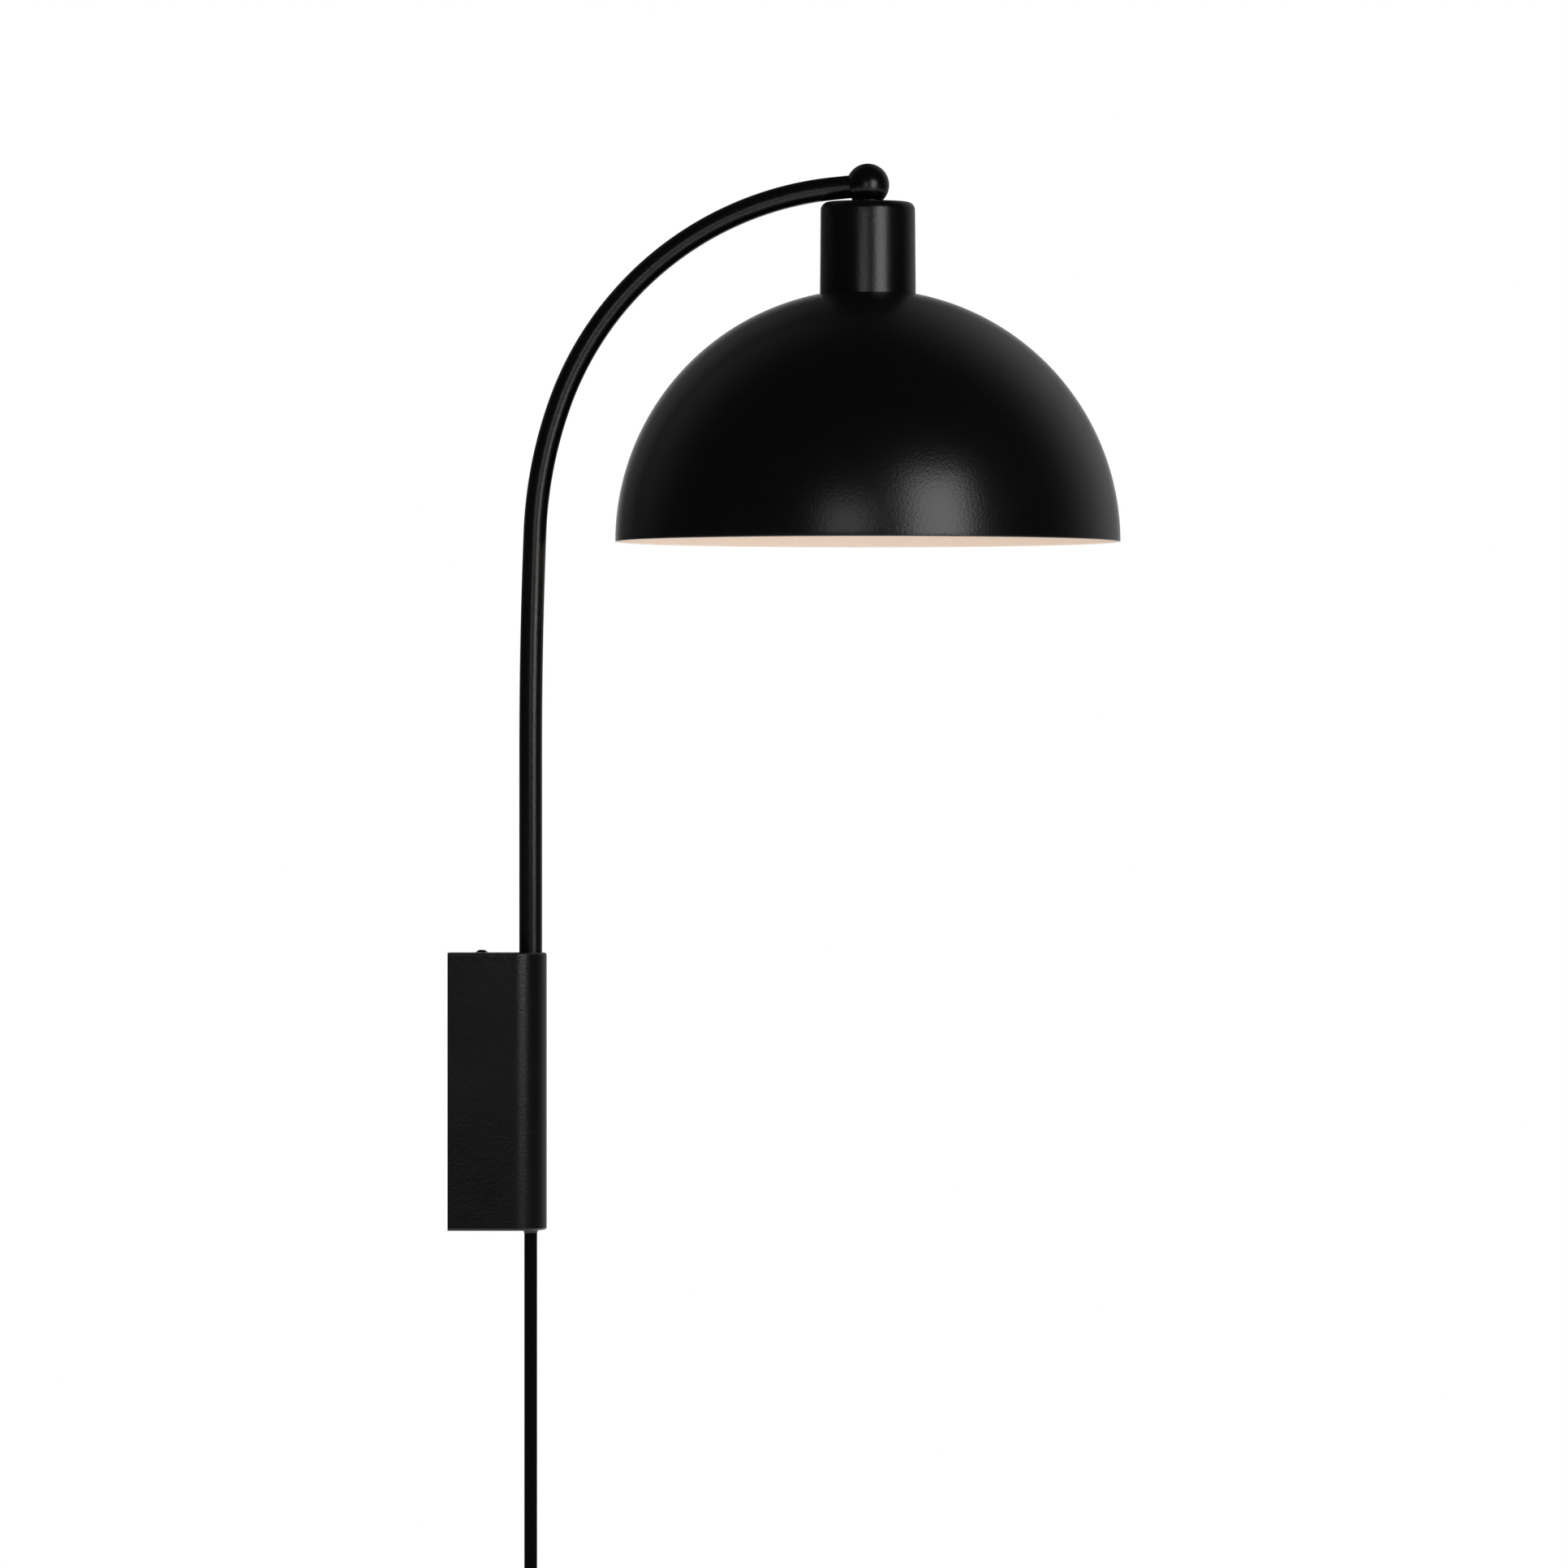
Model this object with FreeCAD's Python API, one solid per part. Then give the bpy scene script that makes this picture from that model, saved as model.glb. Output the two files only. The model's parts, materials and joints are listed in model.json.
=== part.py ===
import FreeCAD, Part
import math
import os

from FreeCAD import Vector

# A wall light: a round-fronted wall housing, a swivelling arched tube arm, a ball joint and a
# hemispherical metal shade over a screw lampholder, fed by a textile flex with a switch and a plug.
# Millimetres. The wall is the plane x = 0, x points away from it, z is up. The origin is the
# middle of the two wall screws.

# Wall housing
housing_height = 120.7
housing_width = 30.4
housing_depth = 42.8
housing_wall = 2.0
housing_end_wall = 3.0
housing_edge = 1.1
boss_radius = 10.0
bracket_gap = 0.3
screw_clearance = 0.2

# Wall bracket
bracket_thickness = 2.5
bracket_tab = 20.0
bracket_hook = 1.5
bracket_hook_length = 2.5
wall_screw_spacing = 70.0
wall_screw_hole = 4.5

# Screw on top of the housing
housing_screw_from_wall = 14.5
housing_screw_diameter = 3.0
housing_screw_length = 8.0
housing_screw_head = 5.5
housing_screw_head_height = 1.3
housing_screw_socket = 2.0
housing_screw_socket_depth = 0.8

# Arm tube and its bearing
tube_diameter = 10.0
tube_wall = 1.0
tube_from_front = 7.0
arm_riser = 88.8
lower_bend_radius = 2400.0
lower_bend_angle = 2.25
middle_bend_radius = 189.0
middle_bend_angle = 17.4
upper_bend_radius = 142.0
upper_bend_angle = 64.5
arm_tip = 14.9
bush_wall = 1.0
bush_length = 12.0
running_gap = 0.05
foot_height = 12.0
thrust_washer_thickness = 1.0
lower_bush_lift = 2.0
groove_depth = 0.6
groove_height = 4.0
groove_play = 0.2
swivel_limit = 55.0
stop_screw_diameter = 4.0
stop_screw_tip = 2.8
stop_screw_above_foot = 48.35
screw_proud = 1.0

# Ball joint
ball_diameter = 18.7
ball_height = 7.4
tube_end_to_ball_centre = 3.5
stem_diameter = 5.5
stem_bore = 3.6
stem_root = 2.5
stem_end = 28.5
tilt_limit = 15.0
seat_ring_radius = 7.6
seat_ring_height = 0.7
collar_radius = 10.4
stem_play = 0.3
cup_seat_radius = 18.0
cup_radius = 12.1
cup_thickness = 1.0
disc_radius = 7.0
disc_thickness = 0.8
disc_cone = 1.8
spring_washer_radius = 7.5
spring_washer_thickness = 1.0
nut_across_flats = 9.0
nut_height = 4.0

# Shade
dome_radius = 110.0
dome_wall = 1.0
cap_top_diameter = 41.2
cap_draft = 0.3
cap_height = 40.0
cap_wall = 1.2
cap_ceiling = 2.0
cap_edge = 3.5

# Lampholder
holder_diameter = 35.2
holder_length = 42.0
holder_below_ball = 32.4
holder_roof = 8.0
socket_diameter = 26.6
socket_length = 26.0
thread_shell_wall = 0.6
thread_shell_inset = 1.0
contact_base_thickness = 4.0
contact_width = 5.0
contact_thickness = 0.6
contact_reach = 8.0
contact_drop = 2.0
terminal_diameter = 3.6
terminal_length = 5.0
terminal_offset = 9.0
dome_hole_clearance = 0.3
shade_ring_radius = 24.0
shade_ring_height = 7.0
shade_ring_grips = 12
shade_ring_grip_radius = 2.0
yoke_thickness = 1.0
yoke_width = 8.0
yoke_screw_diameter = 3.0
yoke_screw_length = 4.0
yoke_screw_head = 5.0
yoke_screw_head_height = 0.5
yoke_leg_overlap = 9.0

# Flex
cord_diameter = 5.6
grommet_wall = 1.0
grommet_length = 10.0
grommet_flare = 0.5
grommet_lip_end = 0.1
grommet_lip = 1.4
clamp_screw_from_bottom = 6.0
cord_upper_length = 153.6
cord_middle_length = 34.0
cord_tail_length = 24.0

# Inline switch
switch_length = 60.0
switch_width = 27.0
switch_thickness = 18.0
switch_edge = 3.0
switch_cord_depth = 8.0
rocker_length = 20.0
rocker_width = 11.0
rocker_rise = 2.6
rocker_gap = 0.4
rocker_angle = 6.0
rocker_well_depth = 6.0
rocker_pin_diameter = 2.0
rocker_pin_length = 1.5
switch_screw_offset = 22.0
switch_screw_diameter = 2.5
switch_screw_head = 5.0
switch_screw_head_height = 2.0
switch_screw_length = 12.0

# Coil of flex
coil_layer_turns = 2
coil_layers = 4
coil_mean_radius = 33.5
coil_gap = 0.7
tie_width = 8.0
tie_thickness = 1.2
tie_ease = 0.3

# Plug
plug_width = 35.0
plug_thickness = 13.7
plug_length = 32.0
plug_straight = 10.7
plug_neck_width = 20.0
plug_neck_thickness = 11.0
relief_length = 22.0
relief_wall = 1.1
pin_spacing = 18.6
pin_diameter = 4.0
pin_length = 19.0
pin_sleeve_length = 10.0
pin_sleeve_diameter = 3.8
pin_core_diameter = 2.6
pin_root = 4.0

# Worked out from the sizes above
housing_top = housing_height / 2
housing_bottom = -housing_height / 2
front_radius = housing_width / 2
front_centre = housing_depth - front_radius
tube_radius = tube_diameter / 2
tube_x = housing_depth - tube_from_front
bore_radius = tube_radius + bush_wall
foot_z = housing_bottom + foot_height
tube_foot_z = foot_z + thrust_washer_thickness
stop_screw_height = foot_z + stop_screw_above_foot
clamp_screw_height = housing_bottom + clamp_screw_from_bottom
cord_radius = cord_diameter / 2
grommet_radius = cord_radius + grommet_wall
bracket_top = housing_top - housing_end_wall
bracket_bottom = housing_bottom + housing_end_wall
ball_radius = ball_diameter / 2
stem_radius = stem_diameter / 2
holder_radius = holder_diameter / 2
X = Vector(1, 0, 0)
Y = Vector(0, 1, 0)
Z = Vector(0, 0, 1)


def cylinder(radius, height, base, axis=Z):
    return Part.makeCylinder(radius, height, base, axis)


def ring(outer, inner, height, base, axis=Z):
    return cylinder(outer, height, base, axis).cut(cylinder(inner, height, base, axis))


def box(low, high):
    size = high.sub(low)
    return Part.makeBox(size.x, size.y, size.z, low)


def hexagon(across_flats, height, base):
    corner = across_flats / math.sqrt(3)
    points = []
    for k in range(7):
        angle = math.pi / 3 * k
        points.append(base.add(Vector(corner * math.cos(angle), corner * math.sin(angle), 0)))
    return Part.Face(Part.makePolygon(points)).extrude(Z * height)


def revolved(points, axis_base, direction=Z, angle=360):
    closed = points + [points[0]]
    return Part.Face(Part.makePolygon(closed)).revolve(axis_base, direction, angle)


def export(shape, name):
    shape.exportStep("parts/" + name + ".step")


# Path of the arm: a riser, three tangent bends and a straight tip that points at the ball centre
def arm_path(start_z, shorten):
    point = Vector(tube_x, 0, housing_top + arm_riser)
    edges = [Part.LineSegment(Vector(tube_x, 0, start_z), point).toShape()]
    heading = 90.0
    bends = [(lower_bend_radius, lower_bend_angle),
             (middle_bend_radius, middle_bend_angle),
             (upper_bend_radius, upper_bend_angle)]
    for radius, turn in bends:
        across = Vector(math.sin(math.radians(heading)), 0, -math.cos(math.radians(heading)))
        centre = point.add(across * radius)
        stops = []
        for part in (0.5, 1.0):
            angle = math.radians(heading - turn * part)
            stops.append(centre.add(Vector(-math.sin(angle), 0, math.cos(angle)) * radius))
        edges.append(Part.Arc(point, stops[0], stops[1]).toShape())
        point = stops[1]
        heading -= turn
    direction = Vector(math.cos(math.radians(heading)), 0, math.sin(math.radians(heading)))
    centre = point.add(direction * arm_tip)
    end = centre.sub(direction * shorten)
    edges.append(Part.LineSegment(point, end).toShape())
    return Part.Wire(edges), centre, direction


def swept(path, start, radius, direction=Z):
    profile = Part.Wire([Part.makeCircle(radius, start, direction)])
    return path.makePipeShell([profile], True, False)


arm_wire, ball_centre, tip_direction = arm_path(tube_foot_z, tube_end_to_ball_centre)
shade_x = ball_centre.x
cap_top = ball_centre.z - ball_height
cap_top_radius = cap_top_diameter / 2
cap_bottom_radius = cap_top_radius + cap_draft
cap_bottom = cap_top - cap_height
dome_centre = Vector(shade_x, 0, cap_bottom - math.sqrt(dome_radius ** 2 - cap_bottom_radius ** 2))
ceiling_underside = cap_top - cap_ceiling
holder_top = ball_centre.z - holder_below_ball
holder_bottom = holder_top - holder_length
yoke_bottom = holder_top - yoke_leg_overlap


def below_ball(depth):
    return Vector(shade_x, 0, ball_centre.z - depth)


# Wall side

def housing_prism(offset, low, high, back):
    """Plan outline: two flat sides and a half round front, drawn in by offset."""
    radius = front_radius - offset
    block = box(Vector(back, -radius, low), Vector(front_centre, radius, high))
    return block.fuse(cylinder(radius, high - low, Vector(front_centre, 0, low))).removeSplitter()


def outer_rim_edges(shape):
    picked = []
    for edge in shape.Edges:
        level = abs(abs(edge.CenterOfMass.z) - housing_top) < 0.01
        if level and edge.BoundBox.XMax > 0.01:
            picked.append(edge)
    return picked


def make_housing():
    body = housing_prism(0, housing_bottom, housing_top, 0)
    body = body.makeFillet(housing_edge, outer_rim_edges(body))
    pocket = housing_prism(housing_wall, bracket_bottom, bracket_top, 0)
    boss = cylinder(boss_radius, housing_height, Vector(tube_x, 0, housing_bottom))
    body = body.cut(pocket.cut(boss))
    body = body.cut(cylinder(bore_radius, housing_top - foot_z, Vector(tube_x, 0, foot_z)))
    body = body.cut(cylinder(grommet_radius, foot_height, Vector(tube_x, 0, housing_bottom)))
    for height in (stop_screw_height, clamp_screw_height):
        start = Vector(tube_x - boss_radius, 0, height)
        body = body.cut(cylinder(stop_screw_diameter / 2, boss_radius, start, X))
    screw_hole = housing_screw_diameter / 2 + screw_clearance
    body = body.cut(cylinder(screw_hole, housing_end_wall, Vector(housing_screw_from_wall, 0, bracket_top)))
    half = bracket_half_width() / 2 + bracket_gap
    slot_low = Vector(bracket_tab - bracket_hook_length - bracket_gap, -half, bracket_bottom - bracket_hook)
    slot_high = Vector(bracket_tab + bracket_gap, half, bracket_bottom)
    return body.cut(box(slot_low, slot_high))


def bracket_half_width():
    return front_radius - housing_wall - bracket_gap


# Steel plate with a threaded tab above and a hooked tab below
def make_bracket():
    half = bracket_half_width()
    plate = box(Vector(0, -half, bracket_bottom), Vector(bracket_thickness, half, bracket_top))
    upper = box(Vector(0, -half, bracket_top - bracket_thickness), Vector(bracket_tab, half, bracket_top))
    lower = box(Vector(0, -half, bracket_bottom), Vector(bracket_tab, half, bracket_bottom + bracket_thickness))
    hook_half = half / 2
    hook = box(Vector(bracket_tab - bracket_hook_length, -hook_half, bracket_bottom - bracket_hook),
               Vector(bracket_tab, hook_half, bracket_bottom + bracket_thickness))
    body = plate.fuse([upper, lower, hook]).removeSplitter()
    for side in (-1, 1):
        at = Vector(0, 0, side * wall_screw_spacing / 2)
        body = body.cut(cylinder(wall_screw_hole / 2, bracket_thickness, at, X))
    thread = Vector(housing_screw_from_wall, 0, bracket_top - bracket_thickness)
    return body.cut(cylinder(housing_screw_diameter / 2, bracket_thickness, thread))


# Button head: a spherical cap of the head's height and diameter, with a hexagon socket
def make_housing_screw():
    top = Vector(housing_screw_from_wall, 0, housing_top)
    half = housing_screw_head / 2
    rise = housing_screw_head_height
    sphere_radius = (half ** 2 + rise ** 2) / (2 * rise)
    sphere = Part.makeSphere(sphere_radius, top.add(Z * (rise - sphere_radius)))
    head = sphere.common(cylinder(half, rise, top))
    shank = cylinder(housing_screw_diameter / 2, housing_screw_length, top.sub(Z * housing_screw_length))
    socket_base = top.add(Z * (rise - housing_screw_socket_depth))
    socket = hexagon(housing_screw_socket, housing_screw_head_height, socket_base)
    return head.fuse(shank).removeSplitter().cut(socket)


def make_bush(bottom_z):
    return ring(bore_radius, tube_radius + running_gap, bush_length, Vector(tube_x, 0, bottom_z))


def make_thrust_washer():
    return ring(bore_radius - running_gap, grommet_radius, thrust_washer_thickness, Vector(tube_x, 0, foot_z))


def make_stop_screw():
    start = tube_x - boss_radius - screw_proud
    shoulder = tube_x - bore_radius
    tip = tube_x - tube_radius + groove_depth - groove_play
    body = cylinder(stop_screw_diameter / 2, shoulder - start, Vector(start, 0, stop_screw_height), X)
    return body.fuse(cylinder(stop_screw_tip / 2, tip - start, Vector(start, 0, stop_screw_height), X))


def make_clamp_screw():
    start = tube_x - boss_radius - screw_proud
    end = tube_x - grommet_radius
    length = end + stop_screw_diameter - start
    body = cylinder(stop_screw_diameter / 2, length, Vector(start, 0, clamp_screw_height), X)
    return body.cut(cylinder(grommet_radius, foot_height, Vector(tube_x, 0, housing_bottom)))


def make_grommet():
    lip = Part.makeCone(cord_radius + grommet_lip_end, cord_radius + grommet_flare, grommet_lip,
                        Vector(tube_x, 0, housing_bottom - grommet_lip), Z)
    sleeve = cylinder(grommet_radius, grommet_length, Vector(tube_x, 0, housing_bottom))
    hole = cylinder(cord_radius, grommet_lip + grommet_length, Vector(tube_x, 0, housing_bottom - grommet_lip))
    return lip.fuse(sleeve).cut(hole)


# Arm

# The stop groove goes part of the way round, so its two ends limit the swivel
def make_arm_tube():
    start = Vector(tube_x, 0, tube_foot_z)
    tube = swept(arm_wire, start, tube_radius).cut(swept(arm_wire, start, tube_radius - tube_wall))
    inner = tube_radius - groove_depth
    tip_angle = math.degrees(math.asin((stop_screw_tip / 2 + groove_play) / inner))
    half_angle = swivel_limit + tip_angle
    low = stop_screw_height - groove_height / 2
    high = stop_screw_height + groove_height / 2
    section = [Vector(tube_x - inner, 0, low), Vector(tube_x - tube_diameter, 0, low),
               Vector(tube_x - tube_diameter, 0, high), Vector(tube_x - inner, 0, high)]
    groove = revolved(section, Vector(tube_x, 0, 0), Z, 2 * half_angle)
    groove.rotate(Vector(tube_x, 0, 0), Z, -half_angle)
    return tube.cut(groove)


def make_arm_flex():
    start = Vector(tube_x, 0, tube_foot_z)
    return swept(arm_wire, start, cord_radius)


def make_ball():
    ball = Part.makeSphere(ball_radius, ball_centre)
    socket_base = ball_centre.sub(tip_direction * ball_diameter)
    socket = cylinder(tube_radius, ball_diameter - tube_end_to_ball_centre, socket_base, tip_direction)
    crossing = cylinder(stem_bore / 2, tube_end_to_ball_centre, ball_centre, tip_direction * -1)
    thread = cylinder(stem_radius, ball_radius, below_ball(stem_root + ball_radius))
    passage = cylinder(stem_bore / 2, stem_root, below_ball(stem_root))
    return ball.cut(socket).cut(crossing).cut(thread).cut(passage)


def make_stem():
    return ring(stem_radius, stem_bore / 2, stem_end - stem_root, below_ball(stem_end))


# Opening that lets the stem lean by the tilt limit: a cone about the ball centre
def stem_opening(depth):
    slope = math.tan(math.radians(tilt_limit))
    start = stem_radius / math.cos(math.radians(tilt_limit)) + stem_play
    return Part.makeCone(start + slope * depth, start, depth, below_ball(depth), Z)


# All bearing faces are spheres about the ball centre
def make_seat_bush():
    neck_top = ball_height - seat_ring_height
    collar_top = ball_height + cap_ceiling + yoke_thickness
    neck = cylinder(seat_ring_radius, collar_top - neck_top, below_ball(collar_top))
    collar = cylinder(collar_radius, cup_seat_radius - collar_top, below_ball(cup_seat_radius))
    body = neck.fuse(collar).common(Part.makeSphere(cup_seat_radius, ball_centre))
    body = body.cut(Part.makeSphere(ball_radius + running_gap, ball_centre))
    return body.cut(stem_opening(cup_seat_radius + cup_thickness))


def make_cup_washer():
    inner = cup_seat_radius + running_gap
    outer = inner + cup_thickness
    shell = Part.makeSphere(outer, ball_centre).cut(Part.makeSphere(inner, ball_centre))
    base = below_ball(outer + cup_thickness)
    column = cylinder(cup_radius, outer, base)
    return shell.common(column).cut(cylinder(stem_radius, outer, base))


def disc_top():
    return math.sqrt((cup_seat_radius + running_gap + cup_thickness) ** 2 - disc_radius ** 2)


def disc_spring(rim_depth, hub_depth):
    hub = below_ball(hub_depth).add(X * stem_radius)
    rim = below_ball(rim_depth).add(X * disc_radius)
    section = [hub, rim, rim.sub(Z * disc_thickness), hub.sub(Z * disc_thickness)]
    return revolved(section, ball_centre)


# A pair of conical springs, rims outwards, pressing the cup against the seat bush
def make_disc_springs():
    top = disc_top()
    hub = top + disc_cone
    lower_hub = hub + disc_thickness
    return Part.makeCompound([disc_spring(top, hub), disc_spring(lower_hub + disc_cone, lower_hub)])


def washer_top():
    return disc_top() + 2 * disc_cone + 2 * disc_thickness


def make_spring_washer():
    return ring(spring_washer_radius, stem_radius, spring_washer_thickness,
                below_ball(washer_top() + spring_washer_thickness))


def make_stem_nut():
    base = below_ball(washer_top() + spring_washer_thickness + nut_height)
    return hexagon(nut_across_flats, nut_height, base).cut(cylinder(stem_radius, nut_height, base))


# Two insulated leads that fill the stem's bore side by side
def make_supply_leads():
    leads = []
    for side in (-1, 1):
        base = below_ball(stem_end).add(Y * side * stem_bore / 4)
        leads.append(cylinder(stem_bore / 4, stem_end - stem_root, base))
    return Part.makeCompound(leads)


# Shade

def make_cap():
    low = cap_bottom - cap_wall
    extra = cap_draft * (cap_top - low) / cap_height
    outer = Part.makeCone(cap_top_radius + extra, cap_top_radius, cap_top - low, Vector(shade_x, 0, low), Z)
    top_edges = [edge for edge in outer.Edges if edge.BoundBox.ZMin > cap_top - 0.01]
    outer = outer.makeFillet(cap_edge, top_edges)
    inner = Part.makeCone(cap_top_radius + extra - cap_wall, cap_top_radius - cap_wall,
                          ceiling_underside - low, Vector(shade_x, 0, low), Z)
    cap = outer.cut(inner).cut(cylinder(seat_ring_radius, cap_ceiling, Vector(shade_x, 0, ceiling_underside)))
    return cap.cut(Part.makeSphere(dome_radius, dome_centre))


def on_sphere(radius, across):
    return Vector(shade_x + across, 0, dome_centre.z + math.sqrt(radius ** 2 - across ** 2))


# Spun hemisphere, open for the lampholder, with a rounded edge at the rim
def make_dome():
    inner_radius = dome_radius - dome_wall
    hole = holder_radius + dome_hole_clearance
    middle = dome_radius * math.sqrt(0.5)
    outer_rim = dome_centre.add(X * dome_radius)
    inner_rim = dome_centre.add(X * inner_radius)
    lip = dome_centre.add(Vector(dome_radius - dome_wall / 2, 0, -dome_wall / 2))
    edges = [Part.Arc(on_sphere(dome_radius, hole), on_sphere(dome_radius, middle), outer_rim).toShape(),
             Part.Arc(outer_rim, lip, inner_rim).toShape(),
             Part.Arc(inner_rim, on_sphere(inner_radius, middle), on_sphere(inner_radius, hole)).toShape(),
             Part.LineSegment(on_sphere(inner_radius, hole), on_sphere(dome_radius, hole)).toShape()]
    return Part.Face(Part.Wire(edges)).revolve(dome_centre, Z, 360)


def make_holder_body():
    body = cylinder(holder_radius, holder_length, Vector(shade_x, 0, holder_bottom))
    bore = socket_diameter / 2 + thread_shell_wall
    body = body.cut(cylinder(bore, holder_length - holder_roof, Vector(shade_x, 0, holder_bottom)))
    for side in (-1, 1):
        at = Vector(shade_x + side * terminal_offset, 0, holder_top - terminal_length)
        body = body.cut(cylinder(terminal_diameter / 2, terminal_length, at))
        screw = Vector(shade_x, side * holder_radius, holder_top - yoke_leg_overlap / 2)
        body = body.cut(cylinder(yoke_screw_diameter / 2, yoke_screw_length - yoke_thickness, screw, Y * -side))
    return body


def make_contact_base():
    radius = socket_diameter / 2 + thread_shell_wall
    low = holder_top - holder_roof - contact_base_thickness
    return cylinder(radius, contact_base_thickness, Vector(shade_x, 0, low))


def make_thread_shell():
    outer = socket_diameter / 2 + thread_shell_wall
    base = Vector(shade_x, 0, holder_bottom + thread_shell_inset)
    return ring(outer, socket_diameter / 2, socket_length, base)


# A springy tongue: a flat foot on the base, bent down to the middle of the socket
def make_centre_contact():
    top = holder_top - holder_roof - contact_base_thickness
    half = contact_width / 2
    profile = [Vector(shade_x - contact_reach, -half, top),
               Vector(shade_x - contact_reach, -half, top - contact_thickness),
               Vector(shade_x - contact_reach / 2, -half, top - contact_thickness),
               Vector(shade_x, -half, top - contact_drop - contact_thickness),
               Vector(shade_x + contact_reach / 4, -half, top - contact_drop - contact_thickness),
               Vector(shade_x + contact_reach / 4, -half, top - contact_drop),
               Vector(shade_x, -half, top - contact_drop),
               Vector(shade_x - contact_reach / 2, -half, top)]
    return Part.Face(Part.makePolygon(profile + [profile[0]])).extrude(Y * contact_width)


def make_terminal_screws():
    screws = []
    for side in (-1, 1):
        at = Vector(shade_x + side * terminal_offset, 0, holder_top - terminal_length)
        screws.append(cylinder(terminal_diameter / 2, terminal_length, at))
    return Part.makeCompound(screws)


# Ring nut under the shade, its upper face ground to the inside of the dome
def make_shade_ring():
    inner_sphere = dome_radius - dome_wall
    contact = dome_centre.z + math.sqrt(inner_sphere ** 2 - shade_ring_radius ** 2)
    low = contact - shade_ring_height
    body = ring(shade_ring_radius, holder_radius, 2 * shade_ring_height, Vector(shade_x, 0, low))
    body = body.common(Part.makeSphere(inner_sphere, dome_centre))
    reach = shade_ring_radius + shade_ring_grip_radius / 2
    for k in range(shade_ring_grips):
        angle = 2 * math.pi * k / shade_ring_grips
        at = Vector(shade_x + reach * math.cos(angle), reach * math.sin(angle), low)
        body = body.cut(cylinder(shade_ring_grip_radius, 2 * shade_ring_height, at))
    return body


# Strap under the cap's ceiling whose two legs carry the lampholder
def make_yoke():
    top = ceiling_underside
    under = top - yoke_thickness
    half = holder_radius + yoke_thickness
    width = yoke_width / 2
    bar = box(Vector(shade_x - width, -half, under), Vector(shade_x + width, half, top))
    disc = cylinder(collar_radius, yoke_thickness, Vector(shade_x, 0, under))
    body = bar.fuse(disc)
    for side in (-1, 1):
        near = min(side * half, side * holder_radius)
        far = max(side * half, side * holder_radius)
        body = body.fuse(box(Vector(shade_x - width, near, yoke_bottom), Vector(shade_x + width, far, top)))
    body = body.removeSplitter().cut(cylinder(seat_ring_radius, yoke_thickness, Vector(shade_x, 0, under)))
    at = Vector(shade_x, -half, holder_top - yoke_leg_overlap / 2)
    return body.cut(cylinder(yoke_screw_diameter / 2, 2 * half, at, Y))


def make_yoke_screws():
    screws = []
    for side in (-1, 1):
        face = Vector(shade_x, side * (holder_radius + yoke_thickness), holder_top - yoke_leg_overlap / 2)
        head = cylinder(yoke_screw_head / 2, yoke_screw_head_height, face, Y * side)
        shank = cylinder(yoke_screw_diameter / 2, yoke_screw_length, face, Y * -side)
        screws.append(head.fuse(shank).removeSplitter())
    return Part.makeCompound(screws)


# Flex, switch, coil and plug

cord_top_z = housing_bottom + foot_height
switch_top = housing_bottom - cord_upper_length
switch_bottom = switch_top - switch_length
coil_entry_z = switch_bottom - cord_middle_length - cord_diameter
coil_pitch = cord_diameter + coil_gap
coil_outer = coil_mean_radius + coil_layer_turns * coil_pitch / 2
tail_x = tube_x - (coil_layers - 1) * coil_pitch
plug_top = coil_entry_z - cord_diameter - cord_tail_length
plug_neck_z = plug_top - relief_length
plug_face = plug_neck_z - plug_length


def make_cord_upper():
    low = switch_top - switch_cord_depth
    return cylinder(cord_radius, cord_top_z - low, Vector(tube_x, 0, low))


def make_cord_middle():
    high = switch_bottom + switch_cord_depth
    low = coil_entry_z + cord_diameter
    return cylinder(cord_radius, high - low, Vector(tube_x, 0, low))


def make_cord_tail():
    return cylinder(cord_radius, cord_tail_length, Vector(tail_x, 0, plug_top))


# Node of the coil, t in quarter turns. The radius falls and rises by one pitch a turn, layer by
# layer, and the strand crosses to the next layer in the half turn about each reversal.
def coil_node(t):
    quarters = 4 * coil_layer_turns
    layer = min(int(t // quarters), coil_layers - 1)
    along = t - layer * quarters
    inward = layer % 2 == 0
    turned = along if inward else quarters - along
    radius = coil_outer - coil_pitch * turned / 4
    slope = (-1 if inward else 1) * coil_pitch / (2 * math.pi)
    depth = layer * coil_pitch
    climb = 0.0
    at_end = t in (0, quarters * coil_layers)
    if at_end:
        slope = 0.0
    elif along == 0:
        slope = 0.0
        depth -= coil_pitch / 2
        climb = coil_pitch / math.pi
    angle = math.pi + t * math.pi / 2
    out = Vector(0, math.cos(angle), math.sin(angle))
    round_way = Vector(0, -math.sin(angle), math.cos(angle))
    centre = Vector(tube_x, coil_outer, coil_entry_z)
    point = centre.add(out * radius).sub(X * depth)
    tangent = round_way * radius + out * slope - X * climb
    tangent.normalize()
    return point, tangent


def arc_from(start, tangent, end):
    chord = end.sub(start)
    length = chord.Length
    ahead = chord * (1 / length)
    side = tangent.sub(ahead * tangent.dot(ahead))
    angle = math.acos(max(-1.0, min(1.0, tangent.dot(ahead))))
    side.normalize()
    middle = start.add(chord * 0.5).add(side * (length / 2 * math.tan(angle / 2)))
    return Part.Arc(start, middle, end)


# Two tangent arcs between two points with given directions
def biarc(start, start_way, end, end_way):
    span = end.sub(start)
    both = start_way.add(end_way)
    bend = 2 * (1 - start_way.dot(end_way))
    ahead = span.dot(both)
    reach = (math.sqrt(ahead ** 2 + bend * span.dot(span)) - ahead) / bend
    joint = (start.add(end).add((start_way.sub(end_way)) * reach)) * 0.5
    first = arc_from(start, start_way, joint)
    second = arc_from(end, end_way * -1, joint)
    return [first, Part.Arc(joint, second.value((second.FirstParameter + second.LastParameter) / 2), end)]


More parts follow.
